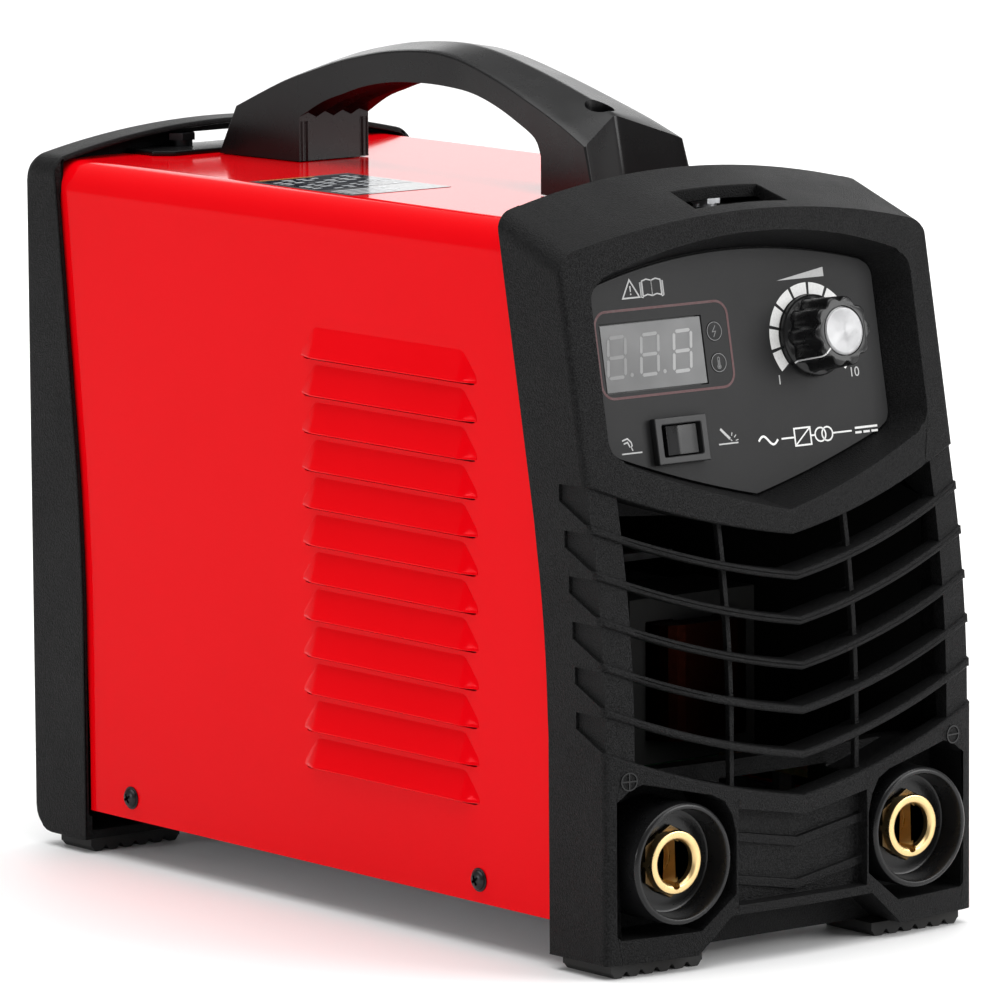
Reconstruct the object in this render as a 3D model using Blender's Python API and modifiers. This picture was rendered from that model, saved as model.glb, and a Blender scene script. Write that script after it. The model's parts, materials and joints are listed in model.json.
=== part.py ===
"""Portable stick welding inverter, modelled piece by piece.

Axes: +X is the machine's right seen from the front, -Y is the front, +Z is up.
Lengths below are millimetres and become metres in put(). Depths (y) are measured from
the front face's lower edge; MACHINE_FRAME carries everything so that the origin is the
bottom centre of the whole machine.
"""
import math

import bmesh
import bpy
from mathutils import Matrix, Vector

MM = 0.001
GAP = 0.3                      # clearance between touching pieces

# ---- overall ----
HALF_WIDTH = 69.0              # bezels
FRONT_BOW = 6.0                # front face bulges forward by this at the centre line
REAR_FACE_Y = 283.5
GLAND_END_Y = 293.5
FLOOR_TO_BEZEL = 4.3
MACHINE_CENTRE_Y = (GLAND_END_Y - FRONT_BOW) / 2

# ---- how the front face leans back with height ----
LEAN_START_Z = 66.0
LEAN_FULL_Z = 130.0
LEAN_CURVE = 0.0015
LEAN_SLOPE = 2 * LEAN_CURVE * (LEAN_FULL_Z - LEAN_START_Z)

# ---- bezels ----
CREST_Z = 224.6                # top of the front bezel at its rear edge, centre line
CREASE_Z = 214.9               # where the front face meets the sloping top facet
REAR_CREST_Z = 222.7
ARCH = 0.0021                  # how the tops drop towards the sides, per mm
REAR_ARCH = 0.0018
TOP_CORNER_RADIUS = 6.0
FLANGE_DEPTH = 26.0            # side flange of the front bezel
REAR_FLANGE_Y = 256.0
REAR_LEAN_SHARE = 0.55
BEZEL_WALL = 3.0
REBATE_DEPTH = 7.0             # the cover slides this far under each flange
STRAP_SLOT_HALF = 17.0
STRAP_SHELF_Z = 209.5

# ---- grille ----
GRILLE_HALF = 58.5
RIB_PITCH = 12.93
RIB_HEIGHT = 2.5
RIB_COUNT = 5
LOWER_FRAME_Z = 47.1           # vertex of the lower frame's top edge
LIP_Z = 122.3                  # vertex of the upper lip's bottom edge
RIB_RISE = 0.155               # chevron rise per mm from the centre line
RIB_CURL = 0.0018              # and its extra curve
BAND_RECESS = 1.0
LEDGE = 0.15
DIVIDER_X = 23.5
DIVIDER_WIDTH = 1.7
DIVIDER_SETBACK = 3.8

# ---- control panel ----
PANEL_TILT = math.atan(LEAN_SLOPE)
PANEL_DEPTH = 8.6              # panel face behind the front face
PANEL_THICKNESS = 1.2
PANEL_ORIGIN_Z = 130.0
PANEL_HALF = 54.0
DISPLAY_SIZE = (37.0, 19.4)
DISPLAY_XZ = (-31.5, 174.7)
INDICATOR_XZ = ((-8.5, 179.5), (-8.2, 170.5))
KNOB_XZ = (27.4, 175.3)
SWITCH_XZ = (-26.8, 150.1)
KNOB_RADIUS = 12.0
KNOB_HEIGHT = 15.0
KNOB_LOBES = 10
ROCKER_TRAVEL = 14.0           # degrees from one side pressed to the other

# ---- sockets ----
SOCKET_X = 44.5
SOCKET_Z = 32.0
SOCKET_RADIUS = 17.7
SOCKET_RIM_OUT = 5.4           # rim ahead of y = 0
POCKET_FLOOR_Y = 14.0
INSERT_RADIUS = 9.3
BORE_RADIUS = 6.5

# ---- cover, tray ----
COVER_HALF = 66.8
COVER_TOP_Z = 213.5
COVER_BOTTOM_Z = 13.7
COVER_TOP_FRONT_Y = 47.3
SHEET = 1.0
FOLD_RADIUS = 9.0
LOUVRE_COUNT = 12
LOUVRE_PITCH = 11.16
LOUVRE_LOWEST_Z = 42.8
LOUVRE_Y = (61.0, 145.0)
LOUVRE_BULGE = 2.2
COVER_SCREW_Y = (61.2, 234.4)
COVER_SCREW_Z = 20.5
HANDLE_SCREW_Y = (87.0, 235.0)
TRAY_HALF = 65.4
TRAY_Z = 14.2
TRAY_SHEET = 1.2
BOARD_Z = 40.0
BOARD_THICKNESS = 1.6

# ---- rear ----
REAR_RECESS = 4.0
REAR_WALL = 3.0
FAN_Z = 76.0
FAN_SIZE = 92.0
FAN_DEPTH = 25.0
FAN_BORE = 44.5
POWER_SWITCH_XZ = (-28.0, 160.0)
GLAND_XZ = (28.0, 160.0)
EARTH_XZ = (50.5, 23.0)

PALETTE = {
    "black_textured": ((0.035, 0.035, 0.037), 0.55, 0.0),
    "black_smooth": ((0.012, 0.012, 0.013), 0.35, 0.0),
    "panel_film": ((0.03, 0.031, 0.033), 0.5, 0.0),
    "red_paint": ((0.72, 0.004, 0.012), 0.22, 0.0),
    "zinc_steel": ((0.62, 0.63, 0.65), 0.35, 1.0),
    "black_steel": ((0.02, 0.02, 0.022), 0.35, 0.9),
    "brass": ((0.86, 0.62, 0.26), 0.25, 1.0),
    "copper": ((0.80, 0.38, 0.22), 0.35, 1.0),
    "aluminium": ((0.78, 0.79, 0.80), 0.38, 1.0),
    "spun_aluminium": ((0.93, 0.93, 0.94), 0.25, 1.0),
    "rubber": ((0.015, 0.015, 0.015), 0.85, 0.0),
    "display_grey": ((0.36, 0.36, 0.37), 0.3, 0.0),
    "board_green": ((0.02, 0.16, 0.06), 0.45, 0.0),
    "ferrite": ((0.05, 0.05, 0.055), 0.6, 0.0),
    "winding": ((0.62, 0.16, 0.05), 0.4, 0.3),
    "capacitor_blue": ((0.03, 0.05, 0.16), 0.4, 0.0),
    "fan_black": ((0.02, 0.02, 0.02), 0.45, 0.0),
}


# ---------------------------------------------------------------- scene helpers
def clear_scene():
    for obj in list(bpy.data.objects):
        bpy.data.objects.remove(obj, do_unlink=True)


def new_collection(name):
    collection = bpy.data.collections.new(name)
    bpy.context.scene.collection.children.link(collection)
    return collection


def make_palette():
    for name, (colour, roughness, metallic) in PALETTE.items():
        material = bpy.data.materials.new(name)
        material.use_nodes = True
        shader = material.node_tree.nodes["Principled BSDF"]
        shader.inputs["Base Color"].default_value = (*colour, 1.0)
        shader.inputs["Roughness"].default_value = roughness
        shader.inputs["Metallic"].default_value = metallic
        material.diffuse_color = (*colour, 1.0)


def empty(name, location=(0, 0, 0), rotation=(0, 0, 0), parent=None):
    obj = bpy.data.objects.new(name, None)
    obj.location = Vector(location) * MM
    obj.rotation_euler = rotation
    obj.parent = parent
    PARTS.objects.link(obj)
    return obj


def put(name, bm, material, parent=None, location=(0, 0, 0), rotation=(0, 0, 0), smooth=None):
    """Turn a millimetre bmesh into a named object; with no material it is a cutter."""
    bmesh.ops.scale(bm, vec=(MM, MM, MM), verts=bm.verts)
    bmesh.ops.recalc_face_normals(bm, faces=bm.faces)
    mesh = bpy.data.meshes.new(name)
    bm.to_mesh(mesh)
    bm.free()
    obj = bpy.data.objects.new(name, mesh)
    obj.parent = parent or MACHINE_FRAME
    obj.location = Vector(location) * MM
    obj.rotation_euler = rotation
    if material is None:
        obj.display_type = "WIRE"
        obj.hide_render = True
        CUTTERS.objects.link(obj)
    else:
        mesh.materials.append(bpy.data.materials[material])
        PARTS.objects.link(obj)
    if smooth is not None:
        mesh.shade_smooth()
        mesh.set_sharp_from_angle(angle=math.radians(smooth))
    return obj


def boolean(target, tool, operation="DIFFERENCE"):
    modifier = target.modifiers.new(tool.name, "BOOLEAN")
    modifier.operation = operation
    modifier.solver = "EXACT"
    modifier.object = tool
    return target


# ---------------------------------------------------------------- shape helpers
def add_box(bm, lo, hi):
    size = Vector(hi) - Vector(lo)
    centre = (Vector(hi) + Vector(lo)) / 2
    place = Matrix.Translation(centre) @ Matrix.Diagonal((*size, 1.0))
    bmesh.ops.create_cube(bm, size=1.0, matrix=place)


def box(name, lo, hi, material=None, **where):
    bm = bmesh.new()
    add_box(bm, lo, hi)
    return put(name, bm, material, **where)


def add_rod(bm, start, end, radius, segments=32, end_radius=None):
    """A round bar or cone from start to end."""
    axis = Vector(end) - Vector(start)
    turn = axis.to_track_quat("Z", "Y").to_matrix().to_4x4()
    place = Matrix.Translation((Vector(start) + Vector(end)) / 2) @ turn
    far = radius if end_radius is None else end_radius
    bmesh.ops.create_cone(bm, cap_ends=True, segments=segments, radius1=radius,
                          radius2=far, depth=axis.length, matrix=place)


def rod(name, start, end, radius, material=None, segments=32, end_radius=None, **where):
    bm = bmesh.new()
    add_rod(bm, start, end, radius, segments, end_radius)
    return put(name, bm, material, **where)


def add_prism(bm, outline, axis, start, end):
    """Extrude a flat outline along "x", "y" or "z"; outline holds the other two coordinates."""
    build = {"x": lambda a, b, t: (t, a, b),
             "y": lambda a, b, t: (a, t, b),
             "z": lambda a, b, t: (a, b, t)}[axis]
    add_loft(bm, [[build(a, b, t) for a, b in outline] for t in (start, end)])


def prism(name, outline, axis, start, end, material=None, **where):
    bm = bmesh.new()
    add_prism(bm, outline, axis, start, end)
    return put(name, bm, material, **where)


def add_loft(bm, loops):
    """Skin closed loops that all have the same number of points, and cap both ends."""
    rings = [[bm.verts.new(point) for point in loop] for loop in loops]
    count = len(rings[0])
    for near, far in zip(rings, rings[1:]):
        for i in range(count):
            j = (i + 1) % count
            bm.faces.new((near[i], near[j], far[j], far[i]))
    bm.faces.new(list(reversed(rings[0])))
    bm.faces.new(rings[-1])


def loft(name, loops, material=None, **where):
    bm = bmesh.new()
    add_loft(bm, loops)
    return put(name, bm, material, **where)


def turned(name, profile, material, steps=40, **where):
    """Spin a closed (radius, height) profile about local Z, listed outer side downwards."""
    mesh = bpy.data.meshes.new(name)
    points = [(radius * MM, 0.0, height * MM) for radius, height in profile]
    edges = [(i, i + 1) for i in range(len(points) - 1)]
    if profile[0][0] > 0:
        edges.append((len(points) - 1, 0))
    mesh.from_pydata(points, edges, [])
    obj = bpy.data.objects.new(name, mesh)
    obj.parent = where.get("parent") or MACHINE_FRAME
    obj.location = Vector(where.get("location", (0, 0, 0))) * MM
    obj.rotation_euler = where.get("rotation", (0, 0, 0))
    screw = obj.modifiers.new("turn", "SCREW")
    screw.steps = steps
    screw.render_steps = steps
    screw.use_merge_vertices = True
    screw.merge_threshold = 0.00001
    if material is None:
        obj.display_type = "WIRE"
        obj.hide_render = True
        CUTTERS.objects.link(obj)
    else:
        mesh.materials.append(bpy.data.materials[material])
        PARTS.objects.link(obj)
    return obj


def hex_nut(name, corner_radius, bore, low, high, material, parent):
    nut = prism(name, ring_points(corner_radius, 6), "z", low, high, material, parent=parent)
    boolean(nut, rod(f"{name}_bore", (0, 0, low - 1), (0, 0, high + 1), bore, None, 32,
                     parent=parent))
    return nut


def ring_points(radius, count, phase=0.0):
    step = 2 * math.pi / count
    return [(radius * math.cos(phase + i * step), radius * math.sin(phase + i * step))
            for i in range(count)]


def rounded_rectangle(half_a, half_b, radius, steps=4):
    points = []
    corners = ((1, 1, 0), (-1, 1, 90), (-1, -1, 180), (1, -1, 270))
    for sign_a, sign_b, start in corners:
        for i in range(steps + 1):
            angle = math.radians(start + 90 * i / steps)
            points.append((sign_a * (half_a - radius) + radius * math.cos(angle),
                           sign_b * (half_b - radius) + radius * math.sin(angle)))
    return points


# ---------------------------------------------------------------- body curves
def lean(z):
    """How far the front face sits back at height z."""
    if z <= LEAN_START_Z:
        return 0.0
    if z <= LEAN_FULL_Z:
        return LEAN_CURVE * (z - LEAN_START_Z) ** 2
    full = LEAN_CURVE * (LEAN_FULL_Z - LEAN_START_Z) ** 2
    return full + LEAN_SLOPE * (z - LEAN_FULL_Z)


def bow(x):
    return FRONT_BOW * (1 - min(1.0, abs(x) / HALF_WIDTH) ** 2)


def front_y(x, z):
    return lean(z) - bow(x)


def flange_y(z):
    return FLANGE_DEPTH + lean(z)


def rear_flange_y(z):
    return REAR_FLANGE_Y + REAR_LEAN_SHARE * lean(z)


def corner_drop(x, radius, half=HALF_WIDTH):
    past = abs(x) - (half - radius)
    if past <= 0:
        return 0.0
    return radius - math.sqrt(max(0.0, radius ** 2 - past ** 2))


def arch_z(x, crest, drop=ARCH):
    return crest - drop * x * x


def chevron(x):
    return RIB_RISE * abs(x) + RIB_CURL * x * x


def columns(half, extra=()):
    inner = [0, 16, 32, 46]
    values = sorted({x for x in inner if x < half} | {half} | set(extra))
    return [-x for x in reversed(values) if x] + values


# ---------------------------------------------------------------- front bezel
def front_bezel_blank():
    rows = (FLOOR_TO_BEZEL, LEAN_START_Z, 90, 110, LEAN_FULL_Z)
    loops = []
    for x in columns(HALF_WIDTH, (60, 65, 67.7)):
        crease = arch_z(x, CREASE_Z)
        crest = arch_z(x, CREST_Z) - corner_drop(x, TOP_CORNER_RADIUS)
        face = [(x, front_y(x, z), z) for z in (*rows, crease)]
        back = [(x, flange_y(z), z) for z in (crest, *reversed(rows))]
        loops.append(face + back)
    return loft("front_bezel", loops, "black_textured")


def front_cavity():
    """Room behind the front wall; thick where the pockets and the panel recess go in."""
    loops = []
    behind = 62
    for x in columns(COVER_HALF - SHEET + 0.1, (60,)):
        drop = ARCH * x * x
        crest = arch_z(x, CREST_Z) - corner_drop(x, TOP_CORNER_RADIUS) - 2.0
        wall = [(16.8, FLOOR_TO_BEZEL + BEZEL_WALL), (16.8, 57)]
        wall += [(lean(z) + 4, z) for z in (57.5, 90, 110, 126)]
        wall += [(lean(z) + 12.5, z) for z in (131, 203 - drop)]
        wall += [(24.5, 210.5 - drop), (24.5, 214.7 - drop), (flange_y(CREST_Z), crest)]
        loops.append([(x, y, z) for y, z in wall]
                     + [(x, behind, crest), (x, behind, FLOOR_TO_BEZEL + BEZEL_WALL)])
    return loft("front_cavity", loops)


def flange_rebate(name, edge_y, inward, outward):
    """Step inside a flange that the cover's edge slides into; edge_y gives the flange edge."""
    rows = (COVER_BOTTOM_Z - 1.5, LEAN_START_Z, 90, 110, LEAN_FULL_Z, 209.5)
    inner = [(edge_y(z) + inward, z) for z in rows]
    outer = [(edge_y(z) + outward, z) for z in reversed(rows)]
    half = COVER_HALF + GAP
    return prism(name, inner + outer, "x", -half, half)


def recess_loop(half, top, bottom, plane_offset):
    """Closed outline of the panel recess on a plane parallel to the panel."""
    corner = 4.0
    side_top = top - 0.0026 * half * half
    side_bottom = bottom + 0.22 * half + 0.0015 * half * half
    right = []
    for x in (8, 20, 32, half * 0.8, half - corner):
        right.append((x, bottom + 0.22 * x + 0.0015 * x * x))
    right += [(half - 1, side_bottom + 1.0), (half, side_bottom + corner)]
    right += [(half, side_top - corner), (half - 1.0, side_top - 0.6)]
    for x in (half - corner, half * 0.75, half * 0.5, half * 0.25):
        right.append((x, top - 0.0026 * x * x))
    left = [(-x, z) for x, z in reversed(right)]
    outline = [(0, bottom)] + right + [(0, top)] + left
    return [(x, lean_plane(z) + plane_offset, z) for x, z in outline]


def lean_plane(z):
    """The flat, leaning plane that the upper face follows, extended past its ends."""
    return lean(LEAN_FULL_Z) + LEAN_SLOPE * (z - LEAN_FULL_Z)


def panel_recess():
    outer = recess_loop(62.4, 209.7, 129.4, -FRONT_BOW - 4)
    floor = recess_loop(53.5, 202.5, 131.8, PANEL_DEPTH + PANEL_THICKNESS + GAP)
    return loft("panel_recess", [outer, floor])


def panel_window():
    near = recess_loop(51.1, 196.4, 134.6, PANEL_DEPTH - 1)
    far = recess_loop(51.1, 196.4, 134.6, PANEL_DEPTH + 12)
    return loft("panel_window", [near, far])


def chevron_band(bm, low, high, reach, near, far):
    """A chevron-shaped slab between two rib edges; near and far are depths from the face."""
    loops = []
    stations = [0, 14, 29, 44, GRILLE_HALF] + reach
    for x in [-x for x in reversed(stations[1:])] + stations:
        bottom = low + chevron(x)
        top = high + chevron(x)
        loops.append([(x, front_y(x, bottom) + near, bottom),
                      (x, front_y(x, top) + near, top),
                      (x, front_y(x, top) + far, top),
                      (x, front_y(x, bottom) + far, bottom)])
    add_loft(bm, loops)


def slot_edges():
    """Bottom and top height of each grille slot at the centre line, lowest first."""
    edges = []
    low = LOWER_FRAME_Z
    for i in range(RIB_COUNT):
        high = LOWER_FRAME_Z + RIB_PITCH * (i + 1) - RIB_HEIGHT
        edges.append((low, high))
        low = high + RIB_HEIGHT
    edges.append((low, LIP_Z))
    return edges


def grille_slots():
    bm = bmesh.new()
    for low, high in slot_edges():
        chevron_band(bm, low + LEDGE, high - LEDGE, [], -3, 14)
    return put("grille_slots", bm, None)


def grille_bands():
    """The face between the ribs is set back slightly from the ribs themselves."""
    bm = bmesh.new()
    for low, high in slot_edges():
        chevron_band(bm, low, high, [HALF_WIDTH - 5, HALF_WIDTH + 2], -3, BAND_RECESS)
    return put("grille_bands", bm, None)


def side_fins(side):
    """Shark-fin recesses where each band runs round the corner onto the side flange."""
    bm = bmesh.new()
    outside = side * (HALF_WIDTH + 2)
    floor = side * (HALF_WIDTH - BAND_RECESS)
    for low, high in slot_edges():
        top = high + chevron(HALF_WIDTH) - LEDGE
        bottom = low + chevron(HALF_WIDTH) + LEDGE
        face = lean((top + bottom) / 2)
        outline = [(face - 4, bottom), (face + 1, bottom), (face + 13, top - 4.8),
                   (face + 13, top), (face - 4, top)]
        add_prism(bm, outline, "x", min(outside, floor), max(outside, floor))
    return put("side_fins_right" if side > 0 else "side_fins_left", bm, None)


def grille_dividers():
    bm = bmesh.new()
    top = LIP_Z + chevron(DIVIDER_X) + 2
    bottom = LOWER_FRAME_Z + chevron(DIVIDER_X) - 2
    face = front_y(DIVIDER_X, 0)
    rows = (bottom, LEAN_START_Z, 80, 100, top)
    for centre in (-DIVIDER_X, DIVIDER_X):
        near = [(face + lean(z) + DIVIDER_SETBACK, z) for z in rows]
        far = [(lean(z) + 3.5, z) for z in reversed(rows)]
        add_prism(bm, near + far, "x", centre - DIVIDER_WIDTH / 2, centre + DIVIDER_WIDTH / 2)
    return put("grille_dividers", bm, None)


def socket_pocket(side):
    outline = [(64.9, 12.5), (63.9, 11.5), (37.1, 11.5), (25.0, 20.9), (25.0, 38.4),
               (29.0, 48.3), (56.5, 55.9), (64.9, 51.3)]
    name = "pocket_right" if side > 0 else "pocket_left"
    return prism(name, [(side * x, z) for x, z in outline], "y", -12, POCKET_FLOOR_Y)


def centre_recess():
    outline = [(-24.2, 17.5), (24.2, 17.5), (24.2, 45.6), (0, 41.3), (-24.2, 45.6)]
    return prism("centre_recess", outline, "y", -12, -1.2)


def centre_recess_ribs():
    bm = bmesh.new()
    for low in (31.4, 18.9):
        outline = [(-24.5, low + 4.5), (0, low), (24.5, low + 4.5),
                   (24.5, low + 7.2), (0, low + 2.9), (-24.5, low + 7.2)]
        add_prism(bm, outline, "y", -2.6, 0.4)
    return put("centre_recess_ribs", bm, None)


def build_front_bezel():
    bezel = front_bezel_blank()
    boolean(bezel, front_cavity())
    boolean(bezel, flange_rebate("front_rebate", flange_y, -REBATE_DEPTH, 10))
    boolean(bezel, box("strap_shelf", (-26, 21.0, STRAP_SHELF_Z - 2), (26, 46, STRAP_SHELF_Z)),
            "UNION")
    boolean(bezel, panel_recess())
    boolean(bezel, panel_window())
    boolean(bezel, grille_slots())
    boolean(bezel, grille_bands())
    for side in (-1, 1):
        boolean(bezel, side_fins(side))
        boolean(bezel, socket_pocket(side))
    boolean(bezel, grille_dividers(), "UNION")
    boolean(bezel, centre_recess())
    boolean(bezel, centre_recess_ribs(), "UNION")
    boolean(bezel, box("centre_relief", (-20, 2.5, 9), (20, 20, 52)))
    necks = bmesh.new()
    for side in (-1, 1):
        add_rod(necks, (side * SOCKET_X, 8, SOCKET_Z), (side * SOCKET_X, 25, SOCKET_Z), 14.9, 36)
    boolean(bezel, put("socket_neck_holes", necks, None))
    arch_floor = [(-38, 0), (38, 0), (38, FLOOR_TO_BEZEL), (26.3, 14.7), (-26.3, 14.7),
                  (-38, FLOOR_TO_BEZEL)]
    boolean(bezel, prism("bottom_notch", arch_floor, "y", -12, 9))
    half = STRAP_SLOT_HALF
    slot = [(-half, 22.0), (half, 22.0), (half - 1, 34.5), (-half + 1, 34.5)]
    boolean(bezel, prism("front_strap_slot", slot, "z", 211.5, 230))
    return bezel


# ---------------------------------------------------------------- rear bezel
def rear_bezel_blank():
    loops = []
    rows = (12, LEAN_START_Z, 98, LEAN_FULL_Z, 200)
    for x in columns(HALF_WIDTH, (60, 65, 67.7)):
        crest = arch_z(x, REAR_CREST_Z, REAR_ARCH) - corner_drop(x, TOP_CORNER_RADIUS)
        back = REAR_FACE_Y - corner_drop(x, 5.0)
        front = [(x, rear_flange_y(z), z) for z in (FLOOR_TO_BEZEL, *rows, crest)]
        rear = [(x, back - 4, crest), (x, back - 1, crest - 1.2), (x, back, crest - 4),
                (x, back, 12), (x, back - 3, 7), (x, back - 8, FLOOR_TO_BEZEL)]
        loops.append(front + rear)
    return loft("rear_bezel", loops, "black_textured")


def rear_cavity():
    inner_wall = REAR_FACE_Y - REAR_RECESS - REAR_WALL
    loops = []
    for x in columns(COVER_HALF - SHEET + 0.1, (60,)):
        crest = arch_z(x, REAR_CREST_Z, REAR_ARCH) - corner_drop(x, TOP_CORNER_RADIUS) - 1.8
        floor = FLOOR_TO_BEZEL + BEZEL_WALL
        loops.append([(x, 240, floor), (x, 240, crest), (x, inner_wall, crest),
                      (x, inner_wall, floor + 3), (x, inner_wall - 4, floor)])
    return loft("rear_cavity", loops)


def rear_recess():
    side_top = 200.0
    near = []
    for x in (-56, -40, -20, 0, 20, 40, 56):
        near.append((x, side_top + 8 - 0.0026 * x * x))
    outline = [(-56, 16), (56, 16)] + list(reversed(near))
    return prism("rear_recess", outline, "y", REAR_FACE_Y - REAR_RECESS, REAR_FACE_Y + 10)


def fan_grille():
    """Rings of curved openings in front of the fan, split by four spokes."""
    bm = bmesh.new()
    near = REAR_FACE_Y - 20
    far = REAR_FACE_Y + 5
    steps = 5
    for inner, outer in ((14, 20.5), (23.5, 30), (33, 41)):
        margin = 2.0 / inner
        for quarter in range(4):
            start = math.pi / 4 + quarter * math.pi / 2 + margin
            sweep = math.pi / 2 - 2 * margin
            angles = [start + sweep * i / steps for i in range(steps + 1)]
            arc = [(outer * math.cos(a), FAN_Z + outer * math.sin(a)) for a in angles]
            arc += [(inner * math.cos(a), FAN_Z + inner * math.sin(a)) for a in reversed(angles)]
            add_prism(bm, arc, "y", near, far)
    return put("fan_grille", bm, None)


def build_rear_bezel():
    bezel = rear_bezel_blank()
    boolean(bezel, rear_cavity())
    boolean(bezel, flange_rebate("rear_rebate", rear_flange_y, REBATE_DEPTH, -10))
    boolean(bezel, rear_recess())
    boolean(bezel, fan_grille())
    x, z = POWER_SWITCH_XZ
    boolean(bezel, box("power_switch_hole", (x - 13.8, 265, z - 10.3), (x + 13.8, 300, z + 10.3)))
    x, z = GLAND_XZ
    boolean(bezel, rod("gland_hole", (x, 265, z), (x, 300, z), 10.1))
    x, z = EARTH_XZ
    boolean(bezel, rod("earth_hole", (x, 265, z), (x, 300, z), 3.2, segments=16))
    half = STRAP_SLOT_HALF
    boolean(bezel, box("rear_strap_slot", (-half, 270, 214.0), (half, 300, 219.4)))
    return bezel


# ---------------------------------------------------------------- cover and tray
def cover_section(half, top, radius, steps=6):
    """Right half of the folded sheet seen from the front, from the fold's top to the side."""
    points = []
    for i in range(steps + 1):
        angle = math.pi / 2 * (1 - i / steps)
        points.append((half - radius + radius * math.cos(angle),
                       top - radius + radius * math.sin(angle)))
    return points


def build_cover():
    outer = cover_section(COVER_HALF, COVER_TOP_Z, FOLD_RADIUS)
    inner = cover_section(COVER_HALF - SHEET, COVER_TOP_Z - SHEET, FOLD_RADIUS - SHEET)
    outline = [(-x, z) for x, z in reversed(outer)]
    outline = [(-COVER_HALF, COVER_BOTTOM_Z)] + outline + outer + [(COVER_HALF, COVER_BOTTOM_Z)]
    hollow = [(COVER_HALF - SHEET, COVER_BOTTOM_Z)] + list(reversed(inner))
    hollow += [(-x, z) for x, z in inner] + [(-COVER_HALF + SHEET, COVER_BOTTOM_Z)]
    cover = prism("cover", outline + hollow, "y", 8, 275, "red_paint")
    boolean(cover, cover_end("cover_front_trim", flange_y, -REBATE_DEPTH + GAP, -60))
    boolean(cover, box("cover_top_trim", (-80, 0, 206), (80, COVER_TOP_FRONT_Y, 220)))
    boolean(cover, cover_end("cover_rear_trim", rear_flange_y, REBATE_DEPTH - GAP, 60))
    for side in (-1, 1):
        boolean(cover, louvres("outer", side, 0.0), "UNION")
        boolean(cover, louvres("inner", side, SHEET))
    holes = bmesh.new()
    for y in COVER_SCREW_Y:
        add_rod(holes, (-80, y, COVER_SCREW_Z), (80, y, COVER_SCREW_Z), 2.2, 10)
    boolean(cover, put("cover_screw_holes", holes, None))
    tops = bmesh.new()
    for y in HANDLE_SCREW_Y:
        add_rod(tops, (0, y, 200), (0, y, 230), 2.4, 12)
    boolean(cover, put("handle_screw_holes", tops, None))
    return cover


def cover_end(name, edge_y, edge_offset, away):
    """Trims an end of the cover so that it follows the leaning edge of the bezel."""
    rows = (-5, LEAN_START_Z, 90, 110, LEAN_FULL_Z, 240)
    edge = [(edge_y(z) + edge_offset, z) for z in rows]
    far = edge_y(0) + away
    return prism(name, edge + [(far, 240), (far, -5)], "x", -90, 90)


def louvres(kind, side, inset):
    """Pressed-out louvres that open downwards: the outer hoods, or the room inside them."""
    bm = bmesh.new()
    wall = COVER_HALF - 0.4 if kind == "outer" else COVER_HALF - 4
    reach = LOUVRE_BULGE - inset
    hood = 8.6 - 1.6 * inset
    start, end = LOUVRE_Y
    for i in range(LOUVRE_COUNT):
        low = LOUVRE_LOWEST_Z + i * LOUVRE_PITCH
        bottom = low if kind == "outer" else low - 0.6
        sections = ((start + inset, 0.1), (start + 7, 1.0), (end - 7, 1.0), (end - inset, 0.1))
        loops = []
        for y, share in sections:
            out = COVER_HALF + max(reach * share, 0.02)
            top = low + hood * (0.55 + 0.45 * share)
            points = [(wall, bottom), (out, bottom), (out, low + 0.8), (COVER_HALF, top),
                      (wall, top)]
            loops.append([(side * x, y, z) for x, z in points])
        add_loft(bm, loops)
    hand = "right" if side > 0 else "left"
    return put(f"louvres_{kind}_{hand}", bm, None)


def build_tray():
    front = 24.0
    rear = 271.0
    outer = [(-TRAY_HALF, TRAY_Z), (TRAY_HALF, TRAY_Z), (TRAY_HALF, TRAY_Z + 16),
             (TRAY_HALF - TRAY_SHEET, TRAY_Z + 16), (TRAY_HALF - TRAY_SHEET, TRAY_Z + TRAY_SHEET),
             (-TRAY_HALF + TRAY_SHEET, TRAY_Z + TRAY_SHEET), (-TRAY_HALF + TRAY_SHEET, TRAY_Z + 16),
             (-TRAY_HALF, TRAY_Z + 16)]
    tray = prism("base_tray", outer, "y", front, rear, "zinc_steel")
    holes = bmesh.new()
    for y in COVER_SCREW_Y:
        add_rod(holes, (-80, y, COVER_SCREW_Z), (80, y, COVER_SCREW_Z), 2.2, 10)
    boolean(tray, put("tray_screw_holes", holes, None))
    return tray


def build_cover_screws():
    """Black flanged button-head screws, two on each side."""
    profile = [(0, 1.9), (1.8, 1.6), (2.7, 0.7), (3.4, 0.6), (3.4, 0.1), (1.75, 0.1),
               (1.75, -6.0), (0, -6.0)]
    for side, hand in ((-1, "left"), (1, "right")):
        for y, end in zip(COVER_SCREW_Y, ("front", "rear")):
            turned(f"cover_screw_{hand}_{end}", profile, "black_steel", 14,
                   location=(side * (COVER_HALF + 0.2), y, COVER_SCREW_Z),
                   rotation=(0, side * math.pi / 2, 0))


# ---------------------------------------------------------------- handle
def grip_half_width(y):
    narrow = 12.0
    if y < 140:
        return narrow + 6.6 * ((140 - y) / 70) ** 2
    if y > 190:
        return narrow + 4.0 * ((y - 190) / 60) ** 1.5
    return narrow


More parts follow.
